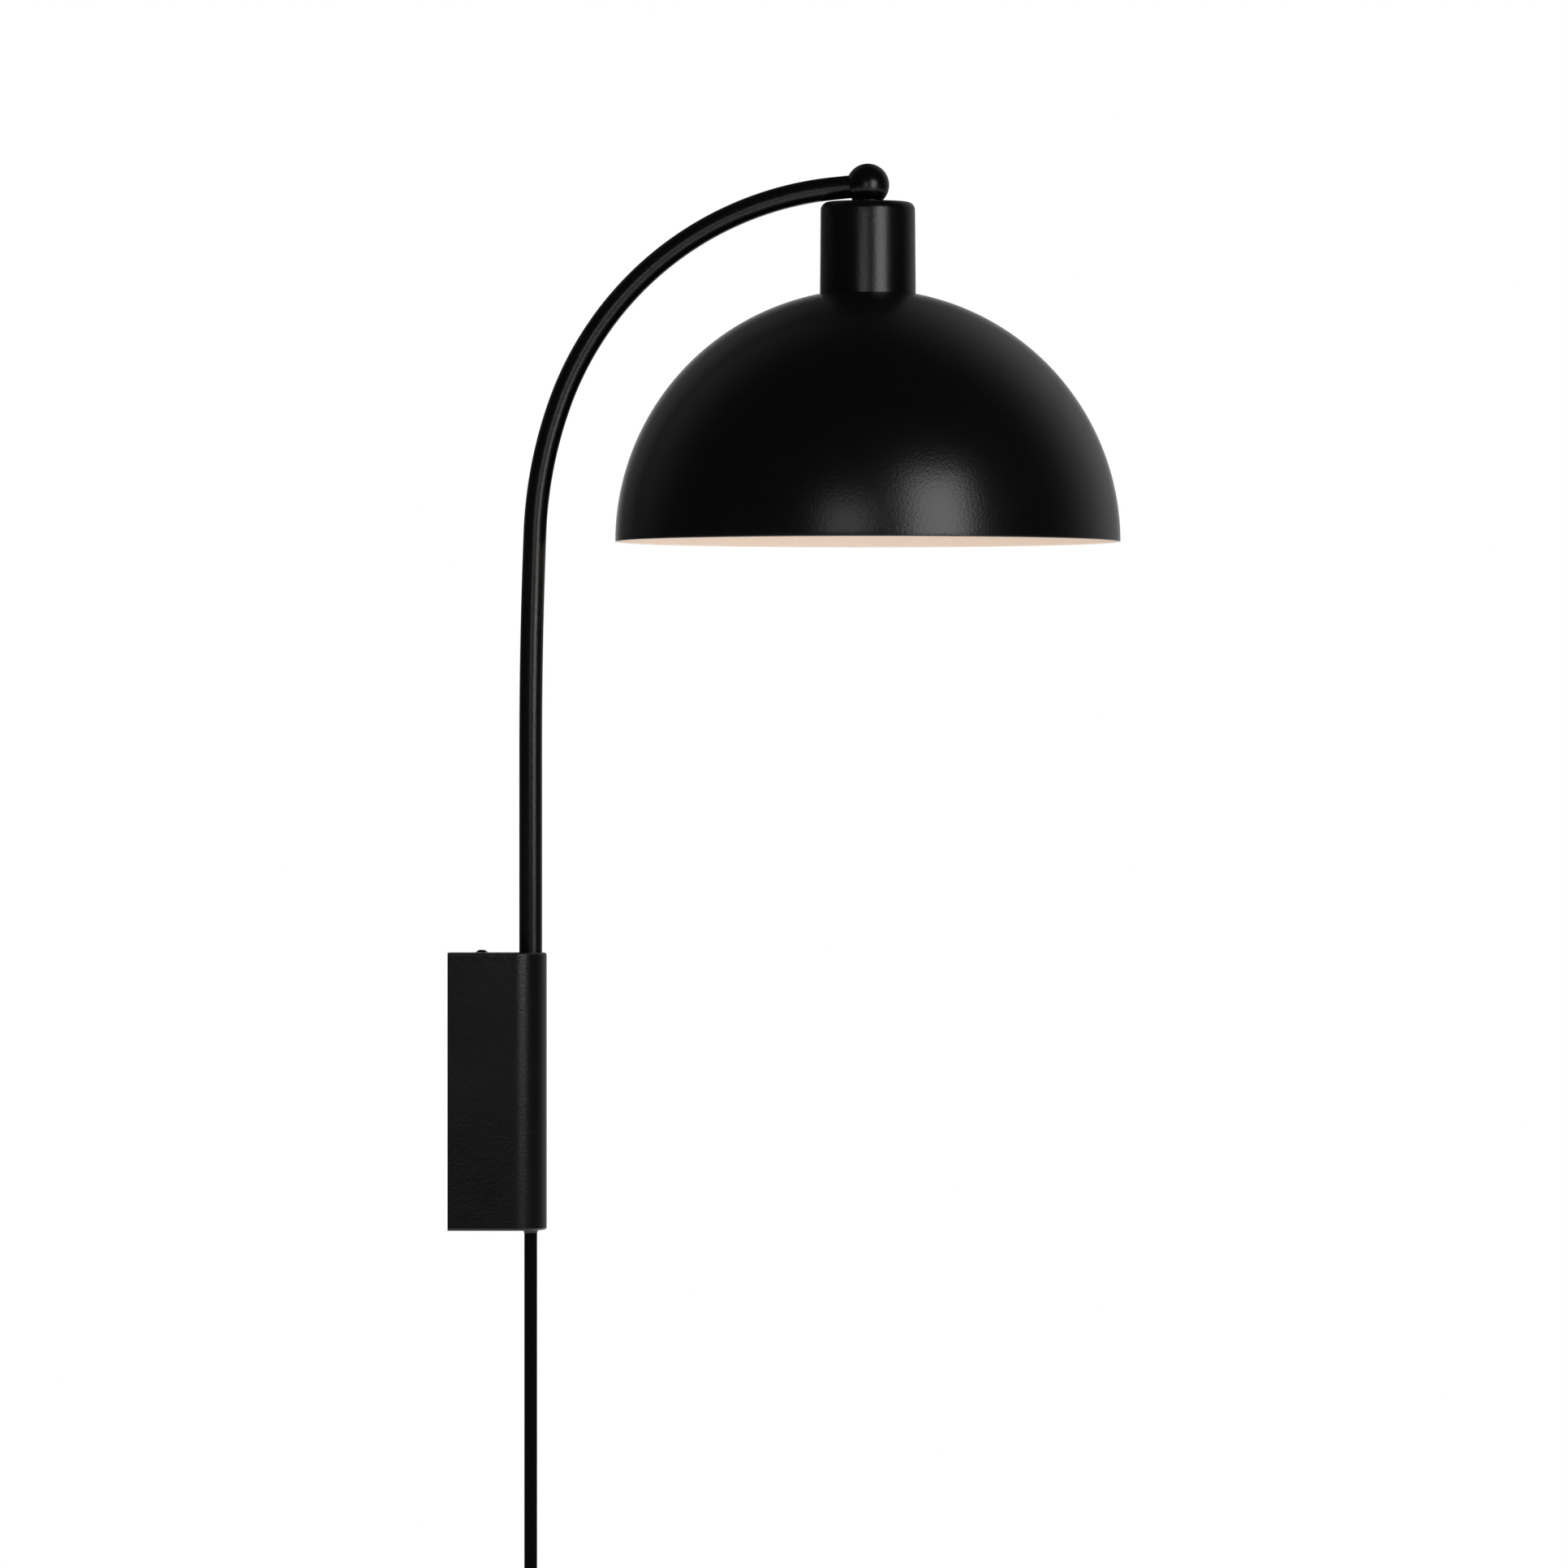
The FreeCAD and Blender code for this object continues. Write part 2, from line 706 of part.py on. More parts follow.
# Every half turn, and every quarter turn next to a reversal
def coil_stations():
    quarters = 4 * coil_layer_turns
    last = quarters * coil_layers
    reversals = range(quarters, last, quarters)
    return [t for t in range(last + 1) if t % 2 == 0 or t - 1 in reversals or t + 1 in reversals]


def coil_arcs():
    nodes = [coil_node(t) for t in coil_stations()]
    arcs = []
    for (start, start_way), (end, end_way) in zip(nodes, nodes[1:]):
        arcs += biarc(start, start_way, end, end_way)
    return arcs


def make_coil():
    arcs = coil_arcs()
    start = coil_node(0)[0]
    end = coil_node(4 * coil_layer_turns * coil_layers)[0]
    above = start.add(Z * cord_diameter)
    below = end.sub(Z * cord_diameter)
    edges = [Part.LineSegment(above, start).toShape()]
    edges += [arc.toShape() for arc in arcs]
    edges.append(Part.LineSegment(end, below).toShape())
    path = Part.Wire(edges)
    profile = Part.Wire([Part.makeCircle(cord_radius, above, Z)])
    return path.makePipeShell([profile], True, False), path, arcs


# Least gap of the strand to itself, on points two millimetres apart and more than a quarter turn away
def least_gap(path):
    step = 2.0
    points = path.discretize(Number=int(path.Length / step))
    skip = int(coil_mean_radius * math.pi / 2 / step)
    least = path.Length
    for i, a in enumerate(points):
        for b in points[i + skip:]:
            if abs(a.x - b.x) < 2 * coil_pitch:
                least = min(least, a.distanceToPoint(b))
    return least - cord_diameter


# Strap round the stack of turns, on the side of the coil away from the incoming flex
def make_tie():
    far = 2 * coil_outer
    stack_out = far - coil_pitch / 2 + cord_radius
    stack_in = far - coil_pitch * (coil_layer_turns - 0.5) - cord_radius - tie_ease
    half = tie_width / 2
    low = Vector(tail_x - cord_radius, stack_in, coil_entry_z - half)
    high = Vector(tube_x + cord_radius, stack_out, coil_entry_z + half)
    wall = Vector(tie_thickness, tie_thickness, 0)
    outer = box(low.sub(wall), high.add(wall))
    upright = [edge for edge in outer.Edges if edge.BoundBox.ZLength > tie_width / 2]
    return outer.makeFillet(tie_thickness, upright).cut(box(low, high))


# Switch body as a rounded bar about the flex, split across its thickness
def switch_bar():
    half_width = switch_width / 2
    half_thick = switch_thickness / 2
    end_straight = switch_length / 2 - half_width
    middle = (switch_top + switch_bottom) / 2
    low = Vector(tube_x - half_thick, -half_width, middle - end_straight)
    high = Vector(tube_x + half_thick, half_width, middle + end_straight)
    bar = box(low, high)
    for z in (middle - end_straight, middle + end_straight):
        bar = bar.fuse(cylinder(half_width, switch_thickness, Vector(tube_x - half_thick, 0, z), X))
    bar = bar.removeSplitter()
    rims = [edge for edge in bar.Edges if edge.BoundBox.XLength < 0.01]
    return bar.makeFillet(switch_edge, rims)


def switch_middle():
    return (switch_top + switch_bottom) / 2


def switch_cord_holes():
    top = cylinder(cord_radius, switch_cord_depth, Vector(tube_x, 0, switch_top - switch_cord_depth))
    bottom = cylinder(cord_radius, switch_cord_depth, Vector(tube_x, 0, switch_bottom))
    return top.fuse(bottom)


def rocker_pivot():
    return Vector(tube_x + switch_thickness / 2 - rocker_well_depth / 2, 0, switch_middle())


def switch_screw_solids(extra):
    screws = []
    for side in (-1, 1):
        head_base = Vector(tube_x - switch_thickness / 2,
                           side * (switch_width / 2 - switch_screw_head),
                           switch_middle() + side * switch_screw_offset)
        head = cylinder(switch_screw_head / 2, switch_screw_head_height + extra, head_base.sub(X * extra), X)
        shank = cylinder(switch_screw_diameter / 2, switch_screw_length, head_base, X)
        screws.append(head.fuse(shank).removeSplitter())
    return screws


def make_switch_back():
    front = box(Vector(tube_x, -switch_width, switch_bottom),
                Vector(tube_x + switch_thickness, switch_width, switch_top))
    body = switch_bar().cut(front).cut(switch_cord_holes())
    for screw in switch_screw_solids(switch_edge):
        body = body.cut(screw)
    return body


def make_switch_front():
    back = box(Vector(tube_x - switch_thickness, -switch_width, switch_bottom),
               Vector(tube_x, switch_width, switch_top))
    body = switch_bar().cut(back).cut(switch_cord_holes())
    pivot = rocker_pivot()
    half_length = rocker_length / 2 + rocker_gap
    half_width = rocker_width / 2 + rocker_gap
    surface = tube_x + switch_thickness / 2
    well = box(Vector(surface - rocker_well_depth, -half_width, pivot.z - half_length),
               Vector(surface + rocker_rise, half_width, pivot.z + half_length))
    body = body.cut(well)
    pin_hole = rocker_pin_diameter / 2 + running_gap
    length = rocker_width + 2 * (rocker_pin_length + rocker_gap)
    body = body.cut(cylinder(pin_hole, length, pivot.sub(Y * length / 2), Y))
    for screw in switch_screw_solids(switch_edge):
        body = body.cut(screw)
    return body


# Rocker with two flats that meet in a shallow dip and a round underside, leaning to its off side
def make_rocker():
    pivot = rocker_pivot()
    surface = tube_x + switch_thickness / 2
    half = rocker_length / 2
    side = -rocker_width / 2
    under = rocker_well_depth / 2 - rocker_gap
    flank = pivot.x + rocker_pin_diameter
    profile = [Vector(flank, side, pivot.z - half),
               Vector(surface + rocker_rise, side, pivot.z - half),
               Vector(surface + rocker_rise / 2, side, pivot.z),
               Vector(surface + rocker_rise, side, pivot.z + half),
               Vector(flank, side, pivot.z + half)]
    lines = [Part.LineSegment(a, b).toShape() for a, b in zip(profile, profile[1:])]
    lowest = Vector(pivot.x - under, side, pivot.z)
    lines.append(Part.Arc(profile[-1], lowest, profile[0]).toShape())
    key = Part.Face(Part.Wire(lines)).extrude(Y * rocker_width)
    pin_length = rocker_width + 2 * rocker_pin_length
    pin = cylinder(rocker_pin_diameter / 2, pin_length, pivot.sub(Y * pin_length / 2), Y)
    rocker = key.fuse(pin)
    rocker.rotate(pivot, Y, -rocker_angle)
    return rocker


# Closed outline of two straights and two half circles, each half circle in two arcs
def stadium(width, thickness, z):
    radius = thickness / 2
    reach = width / 2 - radius
    centre = Vector(tail_x, 0, z)
    edges = []
    for side in (1, -1):
        points = []
        for k in range(5):
            angle = math.pi / 4 * k
            out = Vector(radius * math.cos(angle), reach + radius * math.sin(angle), 0)
            points.append(centre.add(out * side))
        edges.append(Part.Arc(points[0], points[1], points[2]).toShape())
        edges.append(Part.Arc(points[2], points[3], points[4]).toShape())
        across = centre.sub(Vector(radius, reach, 0) * side)
        edges.append(Part.LineSegment(points[4], across).toShape())
    return Part.Wire(edges)


def pin_places():
    return [Vector(tail_x, side * pin_spacing / 2, plug_face) for side in (-1, 1)]


def make_plug_body():
    body = Part.makeLoft([stadium(plug_neck_width, plug_neck_thickness, plug_neck_z),
                          stadium(plug_width, plug_thickness, plug_face + plug_straight),
                          stadium(plug_width, plug_thickness, plug_face)], True, True)
    relief_base = plug_neck_thickness / 2
    relief = Part.makeCone(relief_base, cord_radius + relief_wall, relief_length,
                           Vector(tail_x, 0, plug_neck_z), Z)
    body = body.fuse(relief).removeSplitter()
    for place in pin_places():
        body = body.cut(cylinder(pin_core_diameter / 2, pin_root, place))
    return body


def make_plug_pins():
    pins = []
    for place in pin_places():
        tip_length = pin_length - pin_sleeve_length
        core = cylinder(pin_core_diameter / 2, pin_root + pin_length, place.sub(Z * pin_length))
        tip = cylinder(pin_diameter / 2, tip_length, place.sub(Z * pin_length))
        end_edges = [edge for edge in tip.Edges if edge.BoundBox.ZMax < place.z - pin_length + 0.01]
        tip = tip.makeFillet(pin_diameter / 4, end_edges)
        narrow = cylinder(pin_diameter, pin_root + pin_sleeve_length, place.sub(Z * pin_sleeve_length))
        pins.append(core.common(narrow).fuse(tip).removeSplitter())
    return Part.makeCompound(pins)


def make_pin_sleeves():
    sleeves = []
    for place in pin_places():
        base = place.sub(Z * pin_sleeve_length)
        sleeves.append(ring(pin_sleeve_diameter / 2, pin_core_diameter / 2, pin_sleeve_length, base))
    return Part.makeCompound(sleeves)


coil_solid, coil_path, coil_bends = make_coil()

export(make_bracket(), "wall_bracket")
export(make_housing(), "wall_housing")
export(make_housing_screw(), "housing_screw")
export(make_bush(housing_top - bush_length), "upper_bush")
export(make_bush(foot_z + lower_bush_lift), "lower_bush")
export(make_thrust_washer(), "thrust_washer")
export(make_stop_screw(), "swivel_stop_screw")
export(make_clamp_screw(), "cord_clamp_screw")
export(make_grommet(), "cord_grommet")

export(make_arm_tube(), "arm_tube")
export(make_arm_flex(), "arm_flex")
export(make_ball(), "swivel_ball")
export(make_stem(), "ball_stem")
export(make_cup_washer(), "cup_washer")
export(make_disc_springs(), "disc_springs")
export(make_spring_washer(), "spring_washer")
export(make_stem_nut(), "stem_nut")
export(make_supply_leads(), "supply_leads")

export(make_cap(), "lamp_cap")
export(make_seat_bush(), "seat_bush")
export(make_yoke(), "holder_yoke")
export(make_yoke_screws(), "yoke_screws")
export(make_holder_body(), "lampholder_body")
export(make_contact_base(), "contact_base")
export(make_thread_shell(), "thread_shell")
export(make_centre_contact(), "centre_contact")
export(make_terminal_screws(), "terminal_screws")
export(make_shade_ring(), "shade_ring")
export(make_dome(), "dome_shade")

export(make_cord_upper(), "cord_upper")
export(make_switch_back(), "switch_back")
export(make_switch_front(), "switch_front")
export(make_rocker(), "switch_rocker")
export(Part.makeCompound(switch_screw_solids(0)), "switch_screws")
export(make_cord_middle(), "cord_middle")
export(coil_solid, "cord_coil")
export(make_tie(), "coil_tie")
export(make_cord_tail(), "cord_tail")
export(make_plug_body(), "plug_body")
export(make_plug_pins(), "plug_pins")
export(make_pin_sleeves(), "pin_sleeves")

section_area = math.pi * cord_radius ** 2
radii = [arc.toShape().Curve.Radius for arc in coil_bends]
cord_length = cord_upper_length + switch_length + cord_middle_length + coil_path.Length + cord_tail_length
print("ball centre", [round(v, 2) for v in ball_centre])
print("shade centre", [round(v, 2) for v in dome_centre])
print("wall gap at the swivel limit",
      round(tube_x + (shade_x - tube_x) * math.cos(math.radians(swivel_limit)) - dome_radius, 2))
print("arm tube length", round(arm_wire.Length, 1), "bend radii",
      [lower_bend_radius, middle_bend_radius, upper_bend_radius])
print("coil bend radii from", round(min(radii), 1), "to", round(max(radii), 1), "in", len(radii), "arcs")
print("coil length", round(coil_path.Length, 1), "least gap to itself", round(least_gap(coil_path), 2))
print("coil volume over section x length", round(coil_solid.Volume / (section_area * coil_path.Length), 4))
print("flex length from the housing to the plug", round(cord_length, 1))
print("lowest point", round(plug_face - pin_length, 1))
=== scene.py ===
import bpy
import bmesh
import json
import math
import numpy as np
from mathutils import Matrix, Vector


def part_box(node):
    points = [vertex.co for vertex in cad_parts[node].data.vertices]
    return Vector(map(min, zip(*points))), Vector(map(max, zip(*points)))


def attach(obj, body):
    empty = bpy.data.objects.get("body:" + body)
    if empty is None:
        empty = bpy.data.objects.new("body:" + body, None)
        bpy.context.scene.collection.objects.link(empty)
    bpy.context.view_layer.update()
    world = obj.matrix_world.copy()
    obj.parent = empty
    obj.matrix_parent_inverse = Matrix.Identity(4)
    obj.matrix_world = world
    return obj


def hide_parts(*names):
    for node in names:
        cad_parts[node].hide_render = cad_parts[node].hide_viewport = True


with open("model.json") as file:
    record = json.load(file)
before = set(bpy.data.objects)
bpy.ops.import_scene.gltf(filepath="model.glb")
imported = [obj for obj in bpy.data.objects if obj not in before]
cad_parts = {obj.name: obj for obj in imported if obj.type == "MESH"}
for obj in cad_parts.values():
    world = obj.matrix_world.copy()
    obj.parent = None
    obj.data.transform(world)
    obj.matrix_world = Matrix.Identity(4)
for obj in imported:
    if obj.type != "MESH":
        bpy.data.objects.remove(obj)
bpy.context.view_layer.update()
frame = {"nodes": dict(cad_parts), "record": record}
nodes = frame["nodes"]
scene = bpy.context.scene
fullTurn = 2 * math.pi
print("frame loaded:", len(nodes), "nodes")


# Level and far off, as the photograph was taken
cameraSetup = {"lens": 243.9, "sensor": 36, "distance": 4.626, "x": 0.1461, "z": 0.1337}


def addCamera():
    data = bpy.data.cameras.new("viewCamera")
    data.lens = cameraSetup["lens"]
    data.sensor_width = cameraSetup["sensor"]
    camera = bpy.data.objects.new("viewCamera", data)
    camera.location = (cameraSetup["x"], -cameraSetup["distance"], cameraSetup["z"])
    camera.rotation_euler = (math.radians(90), 0, 0)
    scene.collection.objects.link(camera)
    scene.camera = camera


addCamera()
print("camera placed")


# A grid of points P[i, j] becomes quads (i, j), (i+1, j), (i+1, j+1), (i, j+1), with uv = (i, j) times uvStep
def gridMesh(name, grid, body, closeU=False, closeV=False, uvStep=None):
    countU, countV = grid.shape[:2]
    index = np.arange(countU * countV).reshape(countU, countV)
    if closeU:
        index = np.vstack([index, index[:1]])
    if closeV:
        index = np.hstack([index, index[:, :1]])
    quads = np.stack([index[:-1, :-1], index[1:, :-1], index[1:, 1:], index[:-1, 1:]], axis=-1)
    mesh = bpy.data.meshes.new(name)
    mesh.from_pydata(grid.reshape(-1, 3).tolist(), [], quads.reshape(-1, 4).tolist())
    if uvStep is not None:
        i, j = np.meshgrid(np.arange(quads.shape[0]), np.arange(quads.shape[1]), indexing="ij")
        corners = [(i, j), (i + 1, j), (i + 1, j + 1), (i, j + 1)]
        values = [np.stack([u * uvStep[0], v * uvStep[1]], axis=-1) for u, v in corners]
        layer = mesh.uv_layers.new(name="UVMap")
        layer.data.foreach_set("uv", np.stack(values, axis=2).reshape(-1).astype(np.float32))
    mesh.polygons.foreach_set("use_smooth", np.full(len(mesh.polygons), True))
    mesh.validate()
    mesh.update()
    piece = bpy.data.objects.new(name, mesh)
    scene.collection.objects.link(piece)
    if body:
        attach(piece, body)
    return piece


# A profile of (radius, height) turned about a vertical axis: P = centre + (r cos a, r sin a, h)
def spun(profile, centre, steps):
    angle = np.linspace(0, fullTurn, steps, endpoint=False)[:, None]
    radius = profile[None, :, 0]
    height = np.broadcast_to(profile[None, :, 1], (steps, len(profile)))
    points = np.stack([radius * np.cos(angle), radius * np.sin(angle), height], axis=-1)
    return points + np.array(centre)


# Points on a circle: c + r (cos a, sin a), with a from start to end in degrees
def arcPoints(centre, radius, start, end, count):
    angle = np.radians(np.linspace(start, end, count))
    return np.stack([centre[0] + radius * np.cos(angle), centre[1] + radius * np.sin(angle)], axis=-1)


# Every vector divided by its own length
def unit(vectors):
    return vectors / np.linalg.norm(vectors, axis=1)[:, None]


# The middle of the first ring goes before it and the middle of the last ring after it, as rings of no size
def closedEnds(grid):
    first, last = (np.broadcast_to(grid[end].mean(axis=0), grid[0].shape)[None] for end in (0, -1))
    return np.concatenate([first, grid, last])


# Rings about a line: P = p + r (n cos a + b sin a), where n is the given direction made square to the line
# and b is square to both. The two ends are closed
def tubeGrid(line, radius, sides, direction):
    tangent = unit(np.gradient(line, axis=0))
    direction = np.array(direction, float)
    normal = unit(direction - tangent * (tangent @ direction)[:, None])
    other = np.cross(tangent, normal)
    angle = np.linspace(0, fullTurn, sides, endpoint=False)[None, :, None]
    rings = normal[:, None] * np.cos(angle) + other[:, None] * np.sin(angle)
    return closedEnds(line[:, None] + radius * rings)


# From 0 to 1 with a slow start and a slow end: 3 s^2 - 2 s^3
def eased(share):
    share = np.clip(share, 0, 1)
    return share * share * (3 - 2 * share)


mergeDistance = 1e-7


# Points that lie on each other become one, which closes poles and seams. A closed shell then faces outwards
def closePoles(piece, shell=True):
    work = bmesh.new()
    work.from_mesh(piece.data)
    bmesh.ops.remove_doubles(work, verts=work.verts, dist=mergeDistance)
    if shell:
        bmesh.ops.recalc_face_normals(work, faces=work.faces)
    work.to_mesh(piece.data)
    work.free()


# A number or a colour is set on the socket, and an output is linked to it
def feed(tree, socket, value):
    if isinstance(value, (int, float, tuple)):
        socket.default_value = value
    else:
        tree.links.new(value, socket)


# Inputs are (name, kind, value) and outputs are (name, kind)
def newGroup(name, inputs, outputs):
    group = bpy.data.node_groups.new(name, "ShaderNodeTree")
    for label, kind, value in inputs:
        socket = group.interface.new_socket(label, in_out="INPUT", socket_type="NodeSocket" + kind)
        socket.default_value = value
    for label, kind in outputs:
        group.interface.new_socket(label, in_out="OUTPUT", socket_type="NodeSocket" + kind)
    entry = group.nodes.new("NodeGroupInput")
    leave = group.nodes.new("NodeGroupOutput")
    return group, entry.outputs, leave.inputs


def mathNode(tree, operation, *values):
    node = tree.nodes.new("ShaderNodeMath")
    node.operation = operation
    for slot, value in enumerate(values):
        feed(tree, node.inputs[slot], value)
    return node.outputs[0]


def vectorNode(tree, operation, first, second):
    node = tree.nodes.new("ShaderNodeVectorMath")
    node.operation = operation
    feed(tree, node.inputs[0], first)
    feed(tree, node.inputs[1], second)
    return node.outputs["Value" if operation == "DISTANCE" else "Vector"]


def noiseNode(tree, vector, scale, detail, roughness=0.5):
    node = tree.nodes.new("ShaderNodeTexNoise")
    for label, value in (("Vector", vector), ("Scale", scale), ("Detail", detail), ("Roughness", roughness)):
        feed(tree, node.inputs[label], value)
    return node.outputs["Fac"]


# The value's share of its span, from 0 to 1, carried over to another span
def rangeNode(tree, value, span, to=(0.0, 1.0)):
    node = tree.nodes.new("ShaderNodeMapRange")
    for label, number in zip(("Value", "From Min", "From Max", "To Min", "To Max"), (value, *span, *to)):
        feed(tree, node.inputs[label], number)
    return node.outputs["Result"]


# first (1 - factor) + second factor. The node keeps its colours in inputs 6 and 7 and in output 2
def mixColour(tree, factor, first, second):
    node = tree.nodes.new("ShaderNodeMix")
    node.data_type = "RGBA"
    feed(tree, node.inputs["Factor"], factor)
    feed(tree, node.inputs[6], first)
    feed(tree, node.inputs[7], second)
    return node.outputs[2]


grainNoise = {"coarseDetail": 1.0, "fineRatio": 3.1, "fineDetail": 2.0, "fineSpan": (0.35, 0.75),
              "patchScale": 22.0, "patchDetail": 4.0, "patchRough": 0.6, "patchSpan": (0.3, 0.7)}


# Orange peel of a sprayed or moulded skin: height = coarse noise + share times fine noise. The fine noise
# also mottles the colour, and a third noise in wide patches varies the gloss
def grainGroup():
    group, given, out = newGroup(
        "skinGrain",
        [("Coordinates", "Vector", (0, 0, 0)), ("Grain Scale", "Float", 900.0),
         ("Fine Share", "Float", 0.35), ("Rough Low", "Float", 0.34), ("Rough High", "Float", 0.42),
         ("Base", "Color", (0.01, 0.01, 0.01, 1)), ("Worn", "Color", (0.02, 0.02, 0.02, 1))],
        [("Colour", "Color"), ("Roughness", "Float"), ("Height", "Float")])
    vector = given["Coordinates"]
    coarse = noiseNode(group, vector, given["Grain Scale"], grainNoise["coarseDetail"])
    fineScale = mathNode(group, "MULTIPLY", given["Grain Scale"], grainNoise["fineRatio"])
    fine = noiseNode(group, vector, fineScale, grainNoise["fineDetail"])
    height = mathNode(group, "ADD", coarse, mathNode(group, "MULTIPLY", fine, given["Fine Share"]))
    patches = noiseNode(group, vector, grainNoise["patchScale"], grainNoise["patchDetail"],
                        grainNoise["patchRough"])
    rough = rangeNode(group, patches, grainNoise["patchSpan"], (given["Rough Low"], given["Rough High"]))
    mottle = rangeNode(group, fine, grainNoise["fineSpan"])
    feed(group, out["Colour"], mixColour(group, mottle, given["Base"], given["Worn"]))
    feed(group, out["Roughness"], rough)
    feed(group, out["Height"], height)
    return group


braidWave = {"middle": 0.5, "overShare": (0.25, 0.75), "litRaisedSpan": (0.4, 0.9)}


# Two families of yarns cross on the sleeve: height = the higher of sin(around + along) and
# sin(around - along), each times its share, and sin(along) says which family lies over the other. The colour
# follows that height: painted shade in the gaps between yarns and a painted lighter, lit tone on the raised
# yarns
def braidGroup():
    group, given, out = newGroup(
        "sleeveBraid",
        [("Coordinates", "Vector", (0, 0, 0)), ("Yarns", "Float", 12.0), ("Picks", "Float", 900.0),
         ("Base", "Color", (0.008, 0.008, 0.009, 1)), ("Lit Raised", "Color", (0.02, 0.02, 0.021, 1))],
        [("Colour", "Color"), ("Height", "Float")])
    parts = group.nodes.new("ShaderNodeSeparateXYZ")
    feed(group, parts.inputs[0], given["Coordinates"])
    along = mathNode(group, "MULTIPLY", parts.outputs[0], given["Picks"])
    around = mathNode(group, "MULTIPLY", parts.outputs[1], given["Yarns"])

    def wave(turns):
        return mathNode(group, "SINE", mathNode(group, "MULTIPLY", turns, fullTurn))

    over = rangeNode(group, wave(along), (-1.0, 1.0), braidWave["overShare"])
    under = mathNode(group, "SUBTRACT", 1.0, over)
    yarns = []
    for slope, share in (("ADD", over), ("SUBTRACT", under)):
        yarn = mathNode(group, "MULTIPLY", wave(mathNode(group, slope, around, along)), braidWave["middle"])
        yarns.append(mathNode(group, "MULTIPLY", yarn, share))
    height = mathNode(group, "ADD", mathNode(group, "MAXIMUM", *yarns), braidWave["middle"])
    # Painted shade: the low gaps between yarns get the dark base colour, and the raised yarns get the
    # lighter, lit colour
    litRaised = rangeNode(group, height, braidWave["litRaisedSpan"])
    feed(group, out["Colour"], mixColour(group, litRaised, given["Base"], given["Lit Raised"]))
    feed(group, out["Height"], height)
    return group


brushNoise = {"lineDetail": 3.0, "lineSpan": (0.3, 0.7), "rough": (0.26, 0.44), "cloudScale": 120.0,
              "cloudDetail": 3.0, "cloudSpan": (0.35, 0.7)}


# Fine lines of a turned or plated metal: height = noise at the coordinates times the stretch. A second noise
# gives clouds of tarnish
def brushGroup():
    group, given, out = newGroup(
        "metalBrush",
        [("Coordinates", "Vector", (0, 0, 0)), ("Stretch", "Vector", (900, 900, 60)),
         ("Bright", "Color", (0.7, 0.7, 0.68, 1)), ("Dull", "Color", (0.5, 0.5, 0.48, 1))],
        [("Colour", "Color"), ("Roughness", "Float"), ("Height", "Float")])
    stretched = vectorNode(group, "MULTIPLY", given["Coordinates"], given["Stretch"])
    lines = noiseNode(group, stretched, 1.0, brushNoise["lineDetail"])
    clouds = noiseNode(group, given["Coordinates"], brushNoise["cloudScale"], brushNoise["cloudDetail"])
    tarnish = rangeNode(group, clouds, brushNoise["cloudSpan"])
    feed(group, out["Colour"], mixColour(group, tarnish, given["Bright"], given["Dull"]))
    feed(group, out["Roughness"], rangeNode(group, lines, brushNoise["lineSpan"], brushNoise["rough"]))
    feed(group, out["Height"], lines)
    return group


# 1 inside a sphere of the given centre and radius and 0 outside: |p - centre| < radius
def sideGroup():
    group, given, out = newGroup(
        "insideOfShell",
        [("Coordinates", "Vector", (0, 0, 0)), ("Centre", "Vector", (0, 0, 0)), ("Radius", "Float", 0.1)],
        [("Inside", "Float")])
    away = vectorNode(group, "DISTANCE", given["Coordinates"], given["Centre"])
    feed(group, out["Inside"], mathNode(group, "LESS_THAN", away, given["Radius"]))
    return group


groups = {"grain": grainGroup(), "braid": braidGroup(), "brush": brushGroup(), "side": sideGroup()}
print("node groups made")


# Each finish has its roughness from and to, its two colours, and the strength and the depth of its bump
coatLook = {"grainScale": 900.0, "fineShare": 0.4, "rough": (0.24, 0.28), "bump": 0.5, "depth": 0.00012,
            "base": (0.0004, 0.0004, 0.0004), "mottled": (0.0009, 0.0009, 0.0009)}
shadeInside = {"grainScale": 900.0, "fineShare": 0.3, "rough": (0.40, 0.50),
               "base": (0.905, 0.765, 0.645), "mottled": (0.925, 0.79, 0.675)}
plasticLook = {"grainScale": 2200.0, "fineShare": 0.5, "rough": (0.36, 0.46), "bump": 0.35, "depth": 0.00008,
               "base": (0.0075, 0.0075, 0.0078), "mottled": (0.012, 0.012, 0.0124)}
strapLook = dict(plasticLook, rough=(0.8, 0.9), bump=0.6, depth=0.0002)
ceramicLook = {"grainScale": 700.0, "fineShare": 0.3, "rough": (0.30, 0.40), "bump": 0.1, "depth": 0.00005,
               "base": (0.74, 0.71, 0.65), "mottled": (0.80, 0.78, 0.73)}
leadLook = dict(ceramicLook, rough=(0.5, 0.6))
# The cord's base colour is painted shade for the gaps between yarns, and its raised colour is a painted lit
# tone for the yarn tops
braidLook = {"yarns": 12.0, "picks": 640.0, "rough": 0.85, "specular": 0.06, "bump": 0.8, "depth": 0.00035,
             "base": (0.0004, 0.0004, 0.0004), "litRaised": (0.0022, 0.0022, 0.0023)}
zincLook = {"bright": (0.62, 0.62, 0.61), "dull": (0.47, 0.48, 0.49), "stretch": (60, 900, 900)}
screwLook = {"bright": (0.045, 0.045, 0.047), "dull": (0.03, 0.03, 0.03), "stretch": (900, 900, 200)}
brassLook = {"bright": (0.72, 0.56, 0.27), "dull": (0.58, 0.42, 0.18), "stretch": (900, 300, 900)}
nickelLook = {"bright": (0.74, 0.72, 0.68), "dull": (0.6, 0.58, 0.54), "stretch": (900, 900, 120)}
metalBump = {"bump": 0.15, "depth": 0.00003}


def newMaterial(name):
    material = bpy.data.materials.new(name)
    material.use_nodes = True
    tree = material.node_tree
    coordinates = tree.nodes.new("ShaderNodeTexCoord").outputs
    return material, tree, tree.nodes["Principled BSDF"].inputs, coordinates


